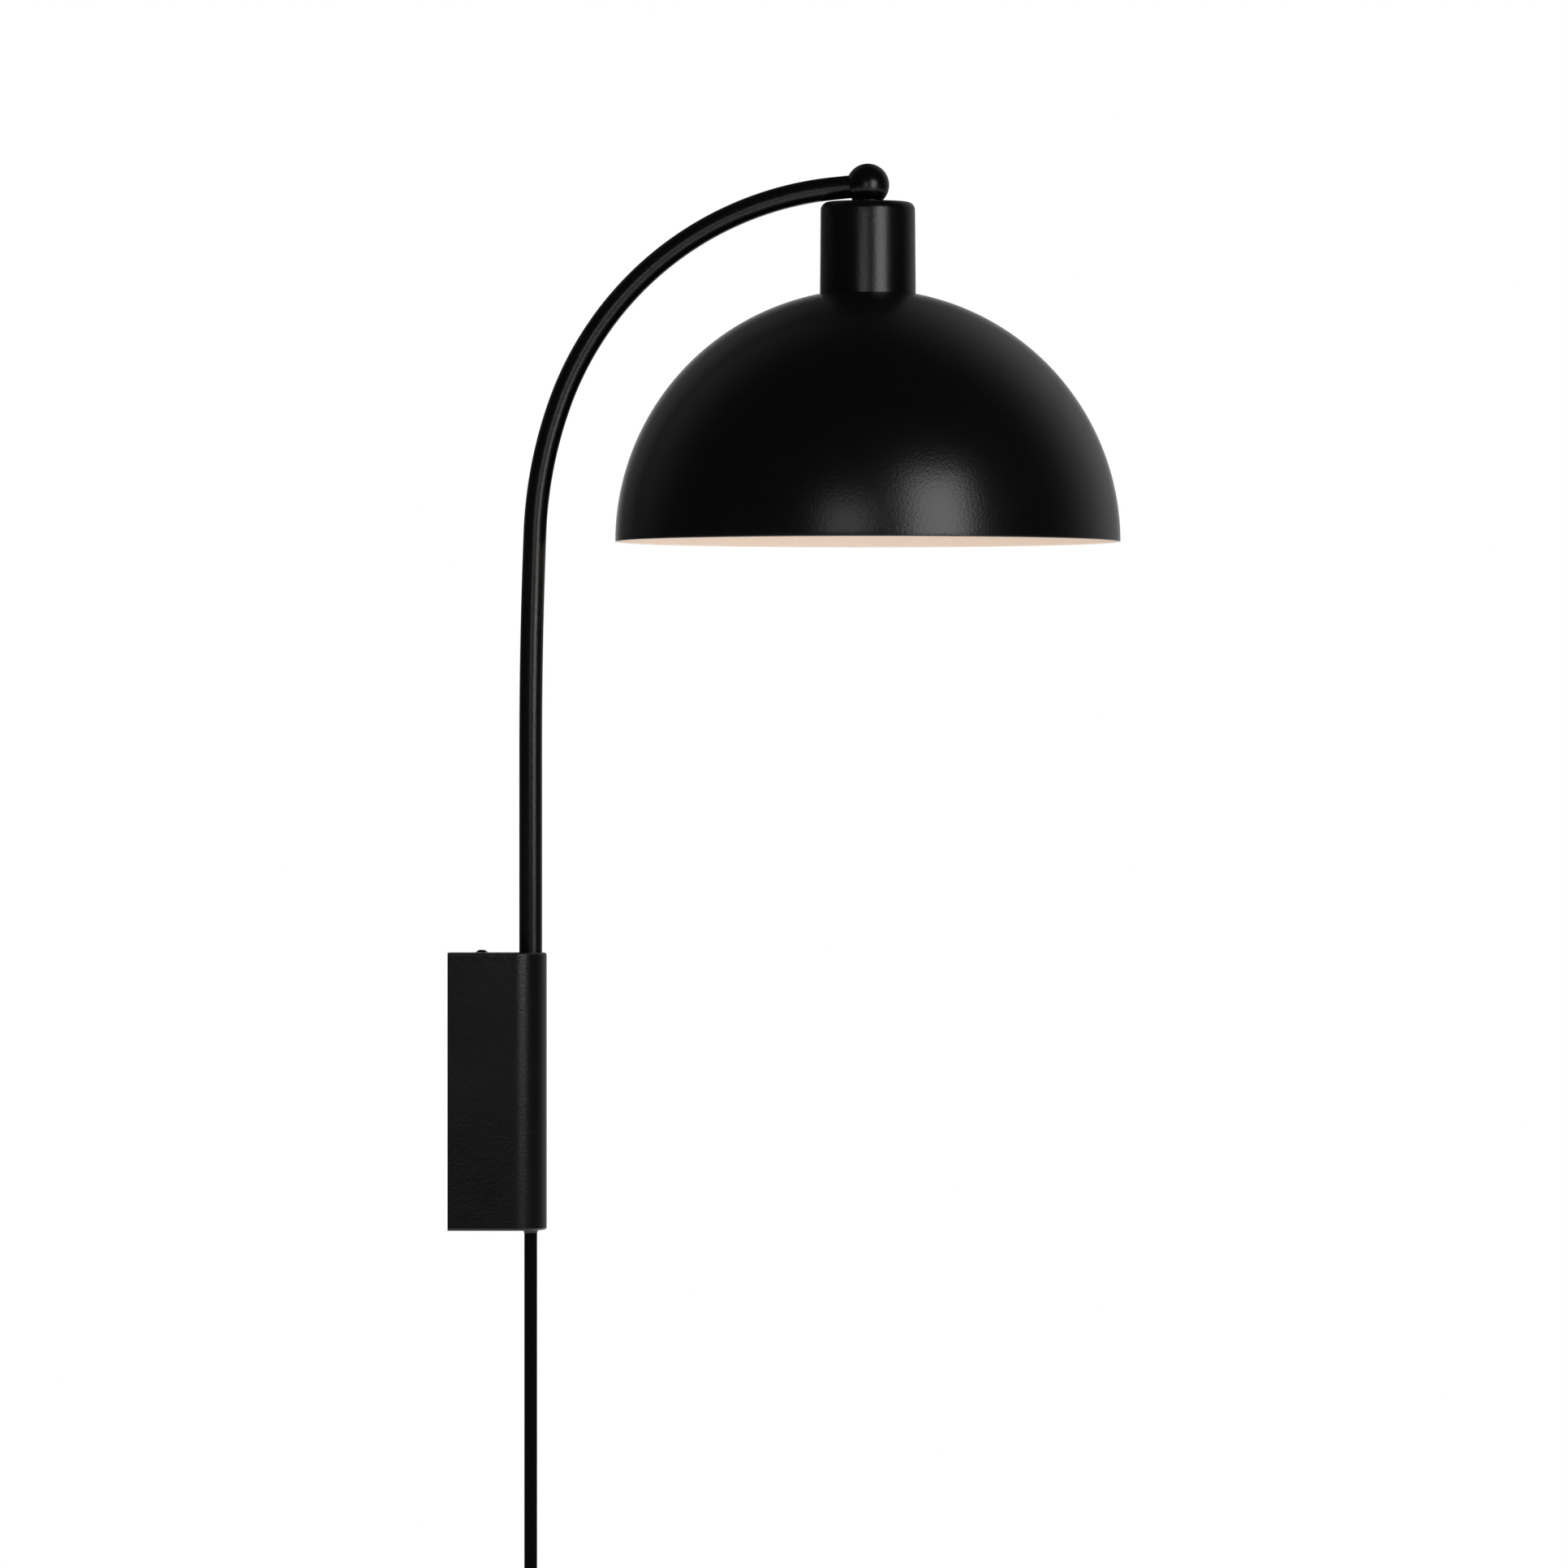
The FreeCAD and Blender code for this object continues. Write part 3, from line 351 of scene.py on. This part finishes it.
def placeGroup(tree, group, coordinates, values):
    node = tree.nodes.new("ShaderNodeGroup")
    node.node_tree = groups[group]
    feed(tree, node.inputs["Coordinates"], coordinates)
    for label, value in values.items():
        node.inputs[label].default_value = value
    return node.outputs


def placeGrain(tree, coordinates, look):
    return placeGroup(tree, "grain", coordinates, {
        "Grain Scale": look["grainScale"], "Fine Share": look["fineShare"],
        "Rough Low": look["rough"][0], "Rough High": look["rough"][1],
        "Base": look["base"] + (1,), "Worn": look["mottled"] + (1,)})


def addBump(tree, shader, height, look):
    bump = tree.nodes.new("ShaderNodeBump")
    feed(tree, bump.inputs["Strength"], look["bump"])
    feed(tree, bump.inputs["Distance"], look["depth"])
    feed(tree, bump.inputs["Height"], height)
    feed(tree, shader["Normal"], bump.outputs["Normal"])


def grainMaterial(name, look):
    material, tree, shader, coordinates = newMaterial(name)
    grain = placeGrain(tree, coordinates["Object"], look)
    feed(tree, shader["Base Color"], grain["Colour"])
    feed(tree, shader["Roughness"], grain["Roughness"])
    addBump(tree, shader, grain["Height"], look)
    return material


def braidMaterial(name, look):
    material, tree, shader, coordinates = newMaterial(name)
    # The braid's two colours paint shade into the gaps between yarns and a lit tone onto the raised yarns
    braid = placeGroup(tree, "braid", coordinates["UV"], {
        "Yarns": look["yarns"], "Picks": look["picks"],
        "Base": look["base"] + (1,), "Lit Raised": look["litRaised"] + (1,)})
    feed(tree, shader["Base Color"], braid["Colour"])
    feed(tree, shader["Roughness"], look["rough"])
    feed(tree, shader["Specular IOR Level"], look["specular"])
    addBump(tree, shader, braid["Height"], look)
    return material


def metalMaterial(name, look):
    material, tree, shader, coordinates = newMaterial(name)
    brush = placeGroup(tree, "brush", coordinates["Object"], {
        "Stretch": look["stretch"], "Bright": look["bright"] + (1,), "Dull": look["dull"] + (1,)})
    feed(tree, shader["Base Color"], brush["Colour"])
    feed(tree, shader["Roughness"], brush["Roughness"])
    feed(tree, shader["Metallic"], 1.0)
    addBump(tree, shader, brush["Height"], metalBump)
    return material


# The coat reaches paintDepth of the wall inwards. The dome's centre, level with the foot of its lip, lies
# half a wall above the lower edge of the node that it replaces
domeShape = {"radius": 0.110, "wall": 0.001, "hole": 0.0179, "paintDepth": 0.6, "around": 288, "along": 72,
             "lipSteps": 9, "sharp": 50}
domeLow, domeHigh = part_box("dome_shade")
domeCentre = ((domeLow[0] + domeHigh[0]) / 2, 0.0, domeLow[2] + domeShape["wall"] / 2)


# Black coat outside and warm paint inside, told apart by the distance from the dome's centre
def shadeMaterial(name):
    material, tree, shader, coordinates = newMaterial(name)
    place = coordinates["Object"]
    outside = placeGrain(tree, place, coatLook)
    inside = placeGrain(tree, place, shadeInside)
    border = domeShape["radius"] - domeShape["wall"] * domeShape["paintDepth"]
    side = placeGroup(tree, "side", place, {"Centre": domeCentre, "Radius": border})["Inside"]
    rough = rangeNode(tree, side, (0.0, 1.0), (outside["Roughness"], inside["Roughness"]))
    feed(tree, shader["Base Color"], mixColour(tree, side, outside["Colour"], inside["Colour"]))
    feed(tree, shader["Roughness"], rough)
    addBump(tree, shader, outside["Height"], coatLook)
    return material


materials = {
    "black_coat": grainMaterial("blackCoat", coatLook),
    "shade_coat": shadeMaterial("shadeCoat"),
    "holder_plastic": grainMaterial("holderPlastic", plasticLook),
    "switch_plastic": grainMaterial("switchPlastic", plasticLook),
    "plug_plastic": grainMaterial("plugPlastic", plasticLook),
    "bush_plastic": grainMaterial("bushPlastic", plasticLook),
    "tie_strap": grainMaterial("tieStrap", strapLook),
    "lead_insulation": grainMaterial("leadInsulation", leadLook),
    "ceramic": grainMaterial("ceramic", ceramicLook),
    "zinc_steel": metalMaterial("zincSteel", zincLook),
    "black_screw": metalMaterial("blackScrew", screwLook),
    "brass": metalMaterial("brass", brassLook),
    "nickel": metalMaterial("nickel", nickelLook),
    "flex_textile": braidMaterial("flexTextile", braidLook),
}


def dress(mesh, slotName):
    mesh.materials.clear()
    mesh.materials.append(materials[slotName])


# Edges that turn by more than the sharp angle, in degrees, stay sharp
def finishPiece(piece, slotName, sharp=None):
    closePoles(piece)
    if sharp:
        piece.data.set_sharp_from_angle(angle=math.radians(sharp))
    dress(piece.data, slotName)


for subpart in frame["record"]["subparts"]:
    dress(nodes[subpart["node"]].data, subpart["material_slot"])
print("materials made and given to every carried-over node")


strap = {"layer": 0.00058, "between": 0.00004, "corner": 0.0018, "overlap": 0.42, "edge": 0.0002,
         "perStraight": 14, "perCorner": 10, "perEdge": 4, "taper": (0.96, 0.88, 0.74, 0.5), "sharp": 40}


# Rounded rectangle walked once and then some: P = C(t) + (r + lift(t)) n(t), where the corner centre C stands
# still while the outward n turns, and n stands still while C moves. The lift carries the strap onto itself
def addStrap():
    low, high = (np.array(corner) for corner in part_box("coil_tie"))
    inset = strap["corner"] + 2 * strap["layer"] + strap["between"]
    middle, half = (low + high) / 2, (high - low) / 2 - inset
    cores = np.array([(1, -1), (1, 1), (-1, 1), (-1, -1)]) * half[:2]
    share = np.linspace(0, 1, strap["perStraight"], endpoint=False)[:, None]
    bend = np.linspace(0, 90, strap["perCorner"], endpoint=False)
    walk, turn = [], []
    for side in range(4):
        here, there = cores[side], cores[(side + 1) % 4]
        walk += [here * (1 - share) + there * share, np.repeat(there[None], strap["perCorner"], axis=0)]
        turn += [np.full(strap["perStraight"], 90.0 * side), 90.0 * side + bend]
    walk, turn = np.vstack(walk), np.concatenate(turn)
    once = len(turn)
    lap = int(once * strap["overlap"])
    walk = np.vstack([walk, walk[:lap]])
    turn = np.radians(np.concatenate([turn, 360 + turn[:lap]]))
    outward = np.stack([np.cos(turn), np.sin(turn)], axis=-1)
    climb = eased((np.arange(once + lap) - once) / strap["perCorner"] + 1)
    lift = strap["layer"] / 2 + climb * (strap["layer"] + strap["between"])
    path = middle[:2] + walk + (strap["corner"] + lift)[:, None] * outward
    flat, tall = strap["layer"] / 2 - strap["edge"], (high[2] - low[2]) / 2 - strap["edge"]
    section = np.vstack([
        arcPoints((signX * flat, signZ * tall), strap["edge"], start, start + 90, strap["perEdge"])
        for signX, signZ, start in ((1, 1, 0), (-1, 1, 90), (-1, -1, 180), (1, -1, 270))])
    width = np.ones(once + lap)
    width[-len(strap["taper"]):] = strap["taper"]
    place = path[:, None, :] + section[None, :, :1] * outward[:, None, :]
    level = middle[2] + section[None, :, 1] * width[:, None]
    grid = np.concatenate([place, level[:, :, None]], axis=-1)
    piece = gridMesh("coilStrap", closedEnds(grid), "wall", closeV=True)
    finishPiece(piece, "tie_strap", strap["sharp"])
    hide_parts("coil_tie")
    return piece


# One cord from the housing down through the switch, round the coil, to the plug. Its two ends are hidden in
# the housing and in the plug
flex = {"diameter": 0.0056, "gap": 0.0007, "x": 0.0358, "startZ": -0.0500, "exitZ": -0.06035,
        "entryZ": -0.31355, "tailEnd": -0.34315, "straightAbove": 0.030, "nearCoil": 0.006,
        "meanRadius": 0.0335, "layers": 4, "layerTurns": 2, "crossingTurns": 0.5, "pointsPerTurn": 24,
        "splineSteps": 6, "leastStep": 1e-5, "ringGap": 0.0016, "sides": 20}
flexPitch = flex["diameter"] + flex["gap"]


# p = c + r(t) (cos a, sin a) in the plane along the wall, and x = x0 - pitch depth(t). In each layer the
# radius changes by one pitch a turn, and the strand crosses to the next layer in the half turn about each
# reversal
def coilPoints():
    perTurn, layerTurns = flex["pointsPerTurn"], flex["layerTurns"]
    outer = flex["meanRadius"] + layerTurns * flexPitch / 2
    turn = (np.arange(flex["layers"] * layerTurns * perTurn) + 0.5) / perTurn
    inLayer = np.mod(turn, 2 * layerTurns)
    fall = np.minimum(inLayer, 2 * layerTurns - inLayer)
    radius = (outer - flexPitch * fall) / math.cos(math.pi / perTurn)
    crossing = np.arange(1, flex["layers"]) * layerTurns
    depth = eased((turn[:, None] - crossing[None, :]) / flex["crossingTurns"] + 0.5).sum(axis=1)
    angle = math.pi + turn * fullTurn
    return np.stack([flex["x"] - flexPitch * depth, outer + radius * np.cos(angle),
                     flex["entryZ"] + radius * np.sin(angle)], axis=-1)


# Straight down from the housing, round the coil, and straight down to the plug
def flexRoute():
    tailX = flex["x"] - (flex["layers"] - 1) * flexPitch
    above = [(flex["x"], 0, flex["startZ"]), (flex["x"], 0, flex["entryZ"] + flex["straightAbove"]),
             (flex["x"], 0, flex["entryZ"] + flex["nearCoil"])]
    below = [(tailX, 0, flex["entryZ"] - flex["nearCoil"]), (tailX, 0, flex["tailEnd"])]
    return np.vstack([above, coilPoints(), below])


# The points are the control points of a quadratic NURBS spline, and its own line comes back as an array
def splineLine(points):
    curve = bpy.data.curves.new("flexLine", "CURVE")
    curve.dimensions = "3D"
    spline = curve.splines.new("NURBS")
    spline.points.add(len(points) - 1)
    spline.points.foreach_set("co", np.hstack([points, np.ones((len(points), 1))]).reshape(-1))
    spline.order_u = 3
    spline.use_endpoint_u = True
    spline.resolution_u = flex["splineSteps"]
    holder = bpy.data.objects.new("flexLine", curve)
    scene.collection.objects.link(holder)
    bpy.context.view_layer.update()
    mesh = bpy.data.meshes.new_from_object(holder)
    line = np.zeros(len(mesh.vertices) * 3)
    mesh.vertices.foreach_get("co", line)
    bpy.data.objects.remove(holder)
    return line.reshape(-1, 3)


# The same line with its points evenly spaced: x, y and z are read off against the distance along it
def evenLine(line):
    steps = np.linalg.norm(np.diff(line, axis=0), axis=1)
    line = line[np.concatenate([[True], steps > flex["leastStep"]])]
    along = np.concatenate([[0], np.cumsum(np.linalg.norm(np.diff(line, axis=0), axis=1))])
    stations = np.linspace(0, along[-1], int(along[-1] / flex["ringGap"]))
    return np.stack([np.interp(stations, along, line[:, axis]) for axis in range(3)], axis=-1), along[-1]


# A round tube along the even line. In its uv map, u is metres along the flex and v is turns around it
def addFlex(strapPiece):
    line, length = evenLine(splineLine(flexRoute()))
    grid = tubeGrid(line, flex["diameter"] / 2, flex["sides"], (1, 0, 0))
    piece = gridMesh("flex", grid, "wall", closeV=True, uvStep=(length / len(line), 1 / flex["sides"]))
    finishPiece(piece, "flex_textile")
    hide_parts("cord_upper", "cord_middle", "cord_coil", "cord_tail")
    print("flex length", round(float(length), 4))


addFlex(addStrap())


# Spun shell: outer arc, rounded lip, inner arc, then the edge of the top hole
def addDome():
    radius, wall = domeShape["radius"], domeShape["wall"]
    inner = radius - wall
    topOuter = math.degrees(math.acos(domeShape["hole"] / radius))
    topInner = math.degrees(math.acos(domeShape["hole"] / inner))
    rim = math.degrees(math.asin(wall / 2 / radius))
    outerArc = arcPoints((0, 0), radius, topOuter, rim, domeShape["along"])
    lip = arcPoints((radius - wall / 2, wall / 2), wall / 2, 0, -180, domeShape["lipSteps"])[1:-1]
    innerArc = arcPoints((0, 0), inner, rim, topInner, domeShape["along"])
    shell = spun(np.vstack([outerArc, lip, innerArc]), domeCentre, domeShape["around"])
    piece = gridMesh("domeShell", shell, "shade", closeU=True, closeV=True)
    finishPiece(piece, "shade_coat", domeShape["sharp"])
    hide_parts("dome_shade")


capShape = {"topRadius": 0.0206, "bottomRadius": 0.0209, "wall": 0.0012, "ceiling": 0.002, "edge": 0.0035,
            "hole": 0.0076, "around": 160, "sideSteps": 12, "edgeSteps": 14, "sharp": 30}


# Spun cup, a little wider below, with a rolled top edge. Its foot lies on the dome: h = sqrt(R^2 - r^2)
def addCap():
    topRadius, bottomRadius, edge = capShape["topRadius"], capShape["bottomRadius"], capShape["edge"]
    wall, hole = capShape["wall"], capShape["hole"]
    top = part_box("lamp_cap")[1][2] - domeCentre[2]
    below = top - capShape["ceiling"]
    footOuter = math.sqrt(domeShape["radius"] ** 2 - bottomRadius ** 2)
    footInner = math.sqrt(domeShape["radius"] ** 2 - (bottomRadius - wall) ** 2)
    side = np.linspace((bottomRadius, footOuter), (topRadius, top - edge), capShape["sideSteps"])
    rolled = arcPoints((topRadius - edge, top - edge), edge, 0, 90, capShape["edgeSteps"])[1:]
    inside = [(hole, top), (hole, below), (topRadius - wall, below), (bottomRadius - wall, footInner)]
    cup = spun(np.vstack([side, rolled, inside]), domeCentre, capShape["around"])
    piece = gridMesh("capCup", cup, "shade", closeU=True, closeV=True)
    finishPiece(piece, "black_coat", capShape["sharp"])
    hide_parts("lamp_cap")


addDome()
addCap()
print("shade and cap made")


# Each bend is (radius, turn in degrees), from the riser to the tip
armShape = {"x": 0.0358, "footZ": -0.04735, "riserTop": 0.14915, "tip": 0.0149, "shortOfBall": 0.0035,
            "bends": ((2.4, 2.25), (0.189, 17.4), (0.142, 64.5)), "radius": 0.005, "around": 56,
            "riserSteps": 40, "bendSteps": 12, "stepsPerDegree": 1.6, "tipSteps": 8, "sharp": 40}


# A riser, three tangent arcs p = c + R (-sin a, cos a) and a straight tip, in the plane y = 0
def armLine():
    corner = np.array([armShape["x"], armShape["riserTop"]])
    runs = [np.linspace((armShape["x"], armShape["footZ"]), corner, armShape["riserSteps"])]
    heading = 90.0
    for radius, turn in armShape["bends"]:
        start = math.radians(heading)
        centre = corner + radius * np.array([math.sin(start), -math.cos(start)])
        steps = max(armShape["bendSteps"], int(turn * armShape["stepsPerDegree"]))
        angle = np.radians(heading - np.linspace(0, turn, steps))
        arc = centre + radius * np.stack([-np.sin(angle), np.cos(angle)], axis=-1)
        runs.append(arc[1:])
        corner = arc[-1]
        heading -= turn
    way = np.array([math.cos(math.radians(heading)), math.sin(math.radians(heading))])
    reach = np.linspace(0, armShape["tip"] - armShape["shortOfBall"], armShape["tipSteps"])[1:, None]
    line = np.vstack(runs + [corner + reach * way])
    return np.stack([line[:, 0], np.zeros(len(line)), line[:, 1]], axis=-1)


# A round tube along the arm's line
def addArm():
    grid = tubeGrid(armLine(), armShape["radius"], armShape["around"], (0, 1, 0))
    piece = gridMesh("armTube", grid, "arm", closeV=True)
    finishPiece(piece, "black_coat", armShape["sharp"])
    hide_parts("arm_tube")


addArm()
print("arm made")


threadShape = {"major": 0.0133, "depth": 0.0009, "pitch": 0.00362, "outer": 0.0139, "around": 96,
               "along": 120, "sharp": 60}


# Rolled round thread: r = major - depth (1 + cos(2 pi z / pitch - a)) / 2, plain on its outer side
def addThread():
    low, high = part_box("thread_shell")
    angle = np.linspace(0, fullTurn, threadShape["around"], endpoint=False)[:, None]
    height = np.linspace(low[2], high[2], threadShape["along"])[None, :]
    wave = (1 + np.cos(fullTurn * height / threadShape["pitch"] - angle)) / 2
    inner = threadShape["major"] - threadShape["depth"] * wave
    radius = np.hstack([inner, np.full_like(inner, threadShape["outer"])])
    level = np.broadcast_to(np.hstack([height, height[:, ::-1]]), radius.shape)
    grid = np.stack([radius * np.cos(angle), radius * np.sin(angle), level], axis=-1)
    grid += ((low[0] + high[0]) / 2, 0, 0)
    piece = gridMesh("threadShell", grid, "shade", closeU=True, closeV=True)
    finishPiece(piece, "nickel", threadShape["sharp"])
    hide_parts("thread_shell")


addThread()
print("thread made")


floorLook = {"colour": (0.90, 0.90, 0.895), "rough": 0.9, "middle": (0.15, 0.0, -0.60), "radius": 3.0,
             "fade": (0.9, 2.4), "around": 96, "rings": 7}


# A disc, P = c + r (cos a, sin a), with r from the edge to the middle so that it faces up. Its pale surface
# fades into the white ground, and it hides nothing from a view below it
def addFloor():
    x, y, z = floorLook["middle"]
    radius = np.linspace(floorLook["radius"], 0, floorLook["rings"])[None, :]
    angle = np.linspace(0, fullTurn, floorLook["around"], endpoint=False)[:, None]
    level = np.full((floorLook["around"], floorLook["rings"]), z)
    grid = np.stack([x + radius * np.cos(angle), y + radius * np.sin(angle), level], axis=-1)
    floor = gridMesh("floor", grid, None, closeU=True)
    closePoles(floor, shell=False)
    material, tree, shader, coordinates = newMaterial("paleFloor")
    feed(tree, shader["Base Color"], floorLook["colour"] + (1,))
    feed(tree, shader["Roughness"], floorLook["rough"])
    fade = tree.nodes.new("ShaderNodeMapRange")
    fade.interpolation_type = "SMOOTHSTEP"
    feed(tree, fade.inputs["Value"], vectorNode(tree, "DISTANCE", coordinates["Object"], floorLook["middle"]))
    feed(tree, fade.inputs["From Min"], floorLook["fade"][0])
    feed(tree, fade.inputs["From Max"], floorLook["fade"][1])
    seen = tree.nodes.new("ShaderNodeLightPath").outputs["Is Camera Ray"]
    whiteShare = mathNode(tree, "MULTIPLY", fade.outputs["Result"], seen)
    white = tree.nodes.new("ShaderNodeEmission").outputs[0]
    fromBelow = tree.nodes.new("ShaderNodeNewGeometry").outputs["Backfacing"]
    clear = tree.nodes.new("ShaderNodeBsdfTransparent").outputs[0]
    surface = tree.nodes["Principled BSDF"].outputs[0]
    for share, other in ((whiteShare, white), (fromBelow, clear)):
        mixed = tree.nodes.new("ShaderNodeMixShader")
        for slot, value in enumerate((share, surface, other)):
            feed(tree, mixed.inputs[slot], value)
        surface = mixed.outputs[0]
    feed(tree, tree.nodes["Material Output"].inputs["Surface"], surface)
    floor.data.materials.append(material)


# Upright rectangular lamps. At a turn of 0 degrees a lamp faces the same way as the camera
keyPanel = {"place": (0.749, -0.943, 0.435), "turn": 31.0, "width": 0.508, "height": 0.71, "power": 3.9}
fillPanel = {"place": (0.0, -1.10, 0.365), "turn": -9.5, "width": 0.38, "height": 0.35, "power": 0.63}


def addPanel(name, panel):
    data = bpy.data.lights.new(name, "AREA")
    data.shape = "RECTANGLE"
    data.size = panel["width"]
    data.size_y = panel["height"]
    data.energy = panel["power"]
    lamp = bpy.data.objects.new(name, data)
    lamp.location = panel["place"]
    lamp.rotation_euler = (math.radians(90), 0, math.radians(panel["turn"]))
    lamp.visible_camera = False
    scene.collection.objects.link(lamp)


# What gloss shows of the room, and the soft light's level from below and from above
gloss = {"from": 0.08, "whiteFrom": 0.93, "curve": 1.5, "front": 0.002, "level": 0.02, "right": 0.30,
         "sides": 0.42, "sidesUp": 0.60, "least": 0.02}
softLight = {"span": (-0.6, 0.6), "level": (1.20, 0.98)}


# White to the eye. To gloss the room rises from a dark front to a white back, more at the sides, on the
# right and above: light = t^curve (level + right x + |x| (sides + sidesUp z)), with t from the front to the
# back, and 1 straight behind. To everything else it is a soft light that changes only with height
def addWorld():
    world = bpy.data.worlds.new("softStudio")
    world.use_nodes = True
    scene.world = world
    tree = world.node_tree
    tree.nodes.clear()
    path = tree.nodes.new("ShaderNodeLightPath").outputs
    parts = tree.nodes.new("ShaderNodeSeparateXYZ")
    feed(tree, parts.inputs[0], tree.nodes.new("ShaderNodeTexCoord").outputs["Generated"])
    right, back, up = parts.outputs
    rise = mathNode(tree, "POWER", rangeNode(tree, back, (gloss["from"], 1.0)), gloss["curve"])
    rise = mathNode(tree, "MAXIMUM", rise, gloss["front"])
    slant = mathNode(tree, "MULTIPLY_ADD", right, gloss["right"], gloss["level"])
    sides = mathNode(tree, "MULTIPLY_ADD", up, gloss["sidesUp"], gloss["sides"])
    slant = mathNode(tree, "MULTIPLY_ADD", mathNode(tree, "ABSOLUTE", right), sides, slant)
    slant = mathNode(tree, "MAXIMUM", slant, gloss["least"])
    white = rangeNode(tree, back, (gloss["whiteFrom"], 1.0))
    room = mathNode(tree, "MAXIMUM", mathNode(tree, "MULTIPLY", rise, slant), white)
    glossy = mathNode(tree, "MULTIPLY", path["Is Glossy Ray"], room)
    seen = mathNode(tree, "MAXIMUM", path["Is Camera Ray"], path["Is Transmission Ray"])
    rest = mathNode(tree, "SUBTRACT", 1.0, mathNode(tree, "MAXIMUM", seen, path["Is Glossy Ray"]))
    soft = mathNode(tree, "MULTIPLY", rest, rangeNode(tree, up, softLight["span"], softLight["level"]))
    level = mathNode(tree, "ADD", mathNode(tree, "ADD", seen, glossy), soft)
    background = tree.nodes.new("ShaderNodeBackground")
    feed(tree, background.inputs["Strength"], level)
    feed(tree, background.inputs["Color"], (1, 1, 1, 1))
    feed(tree, tree.nodes.new("ShaderNodeOutputWorld").inputs[0], background.outputs[0])


addFloor()
addPanel("keyPanel", keyPanel)
addPanel("fillPanel", fillPanel)
addWorld()
scene.view_settings.view_transform = "Standard"
print("floor, lamps and background made")
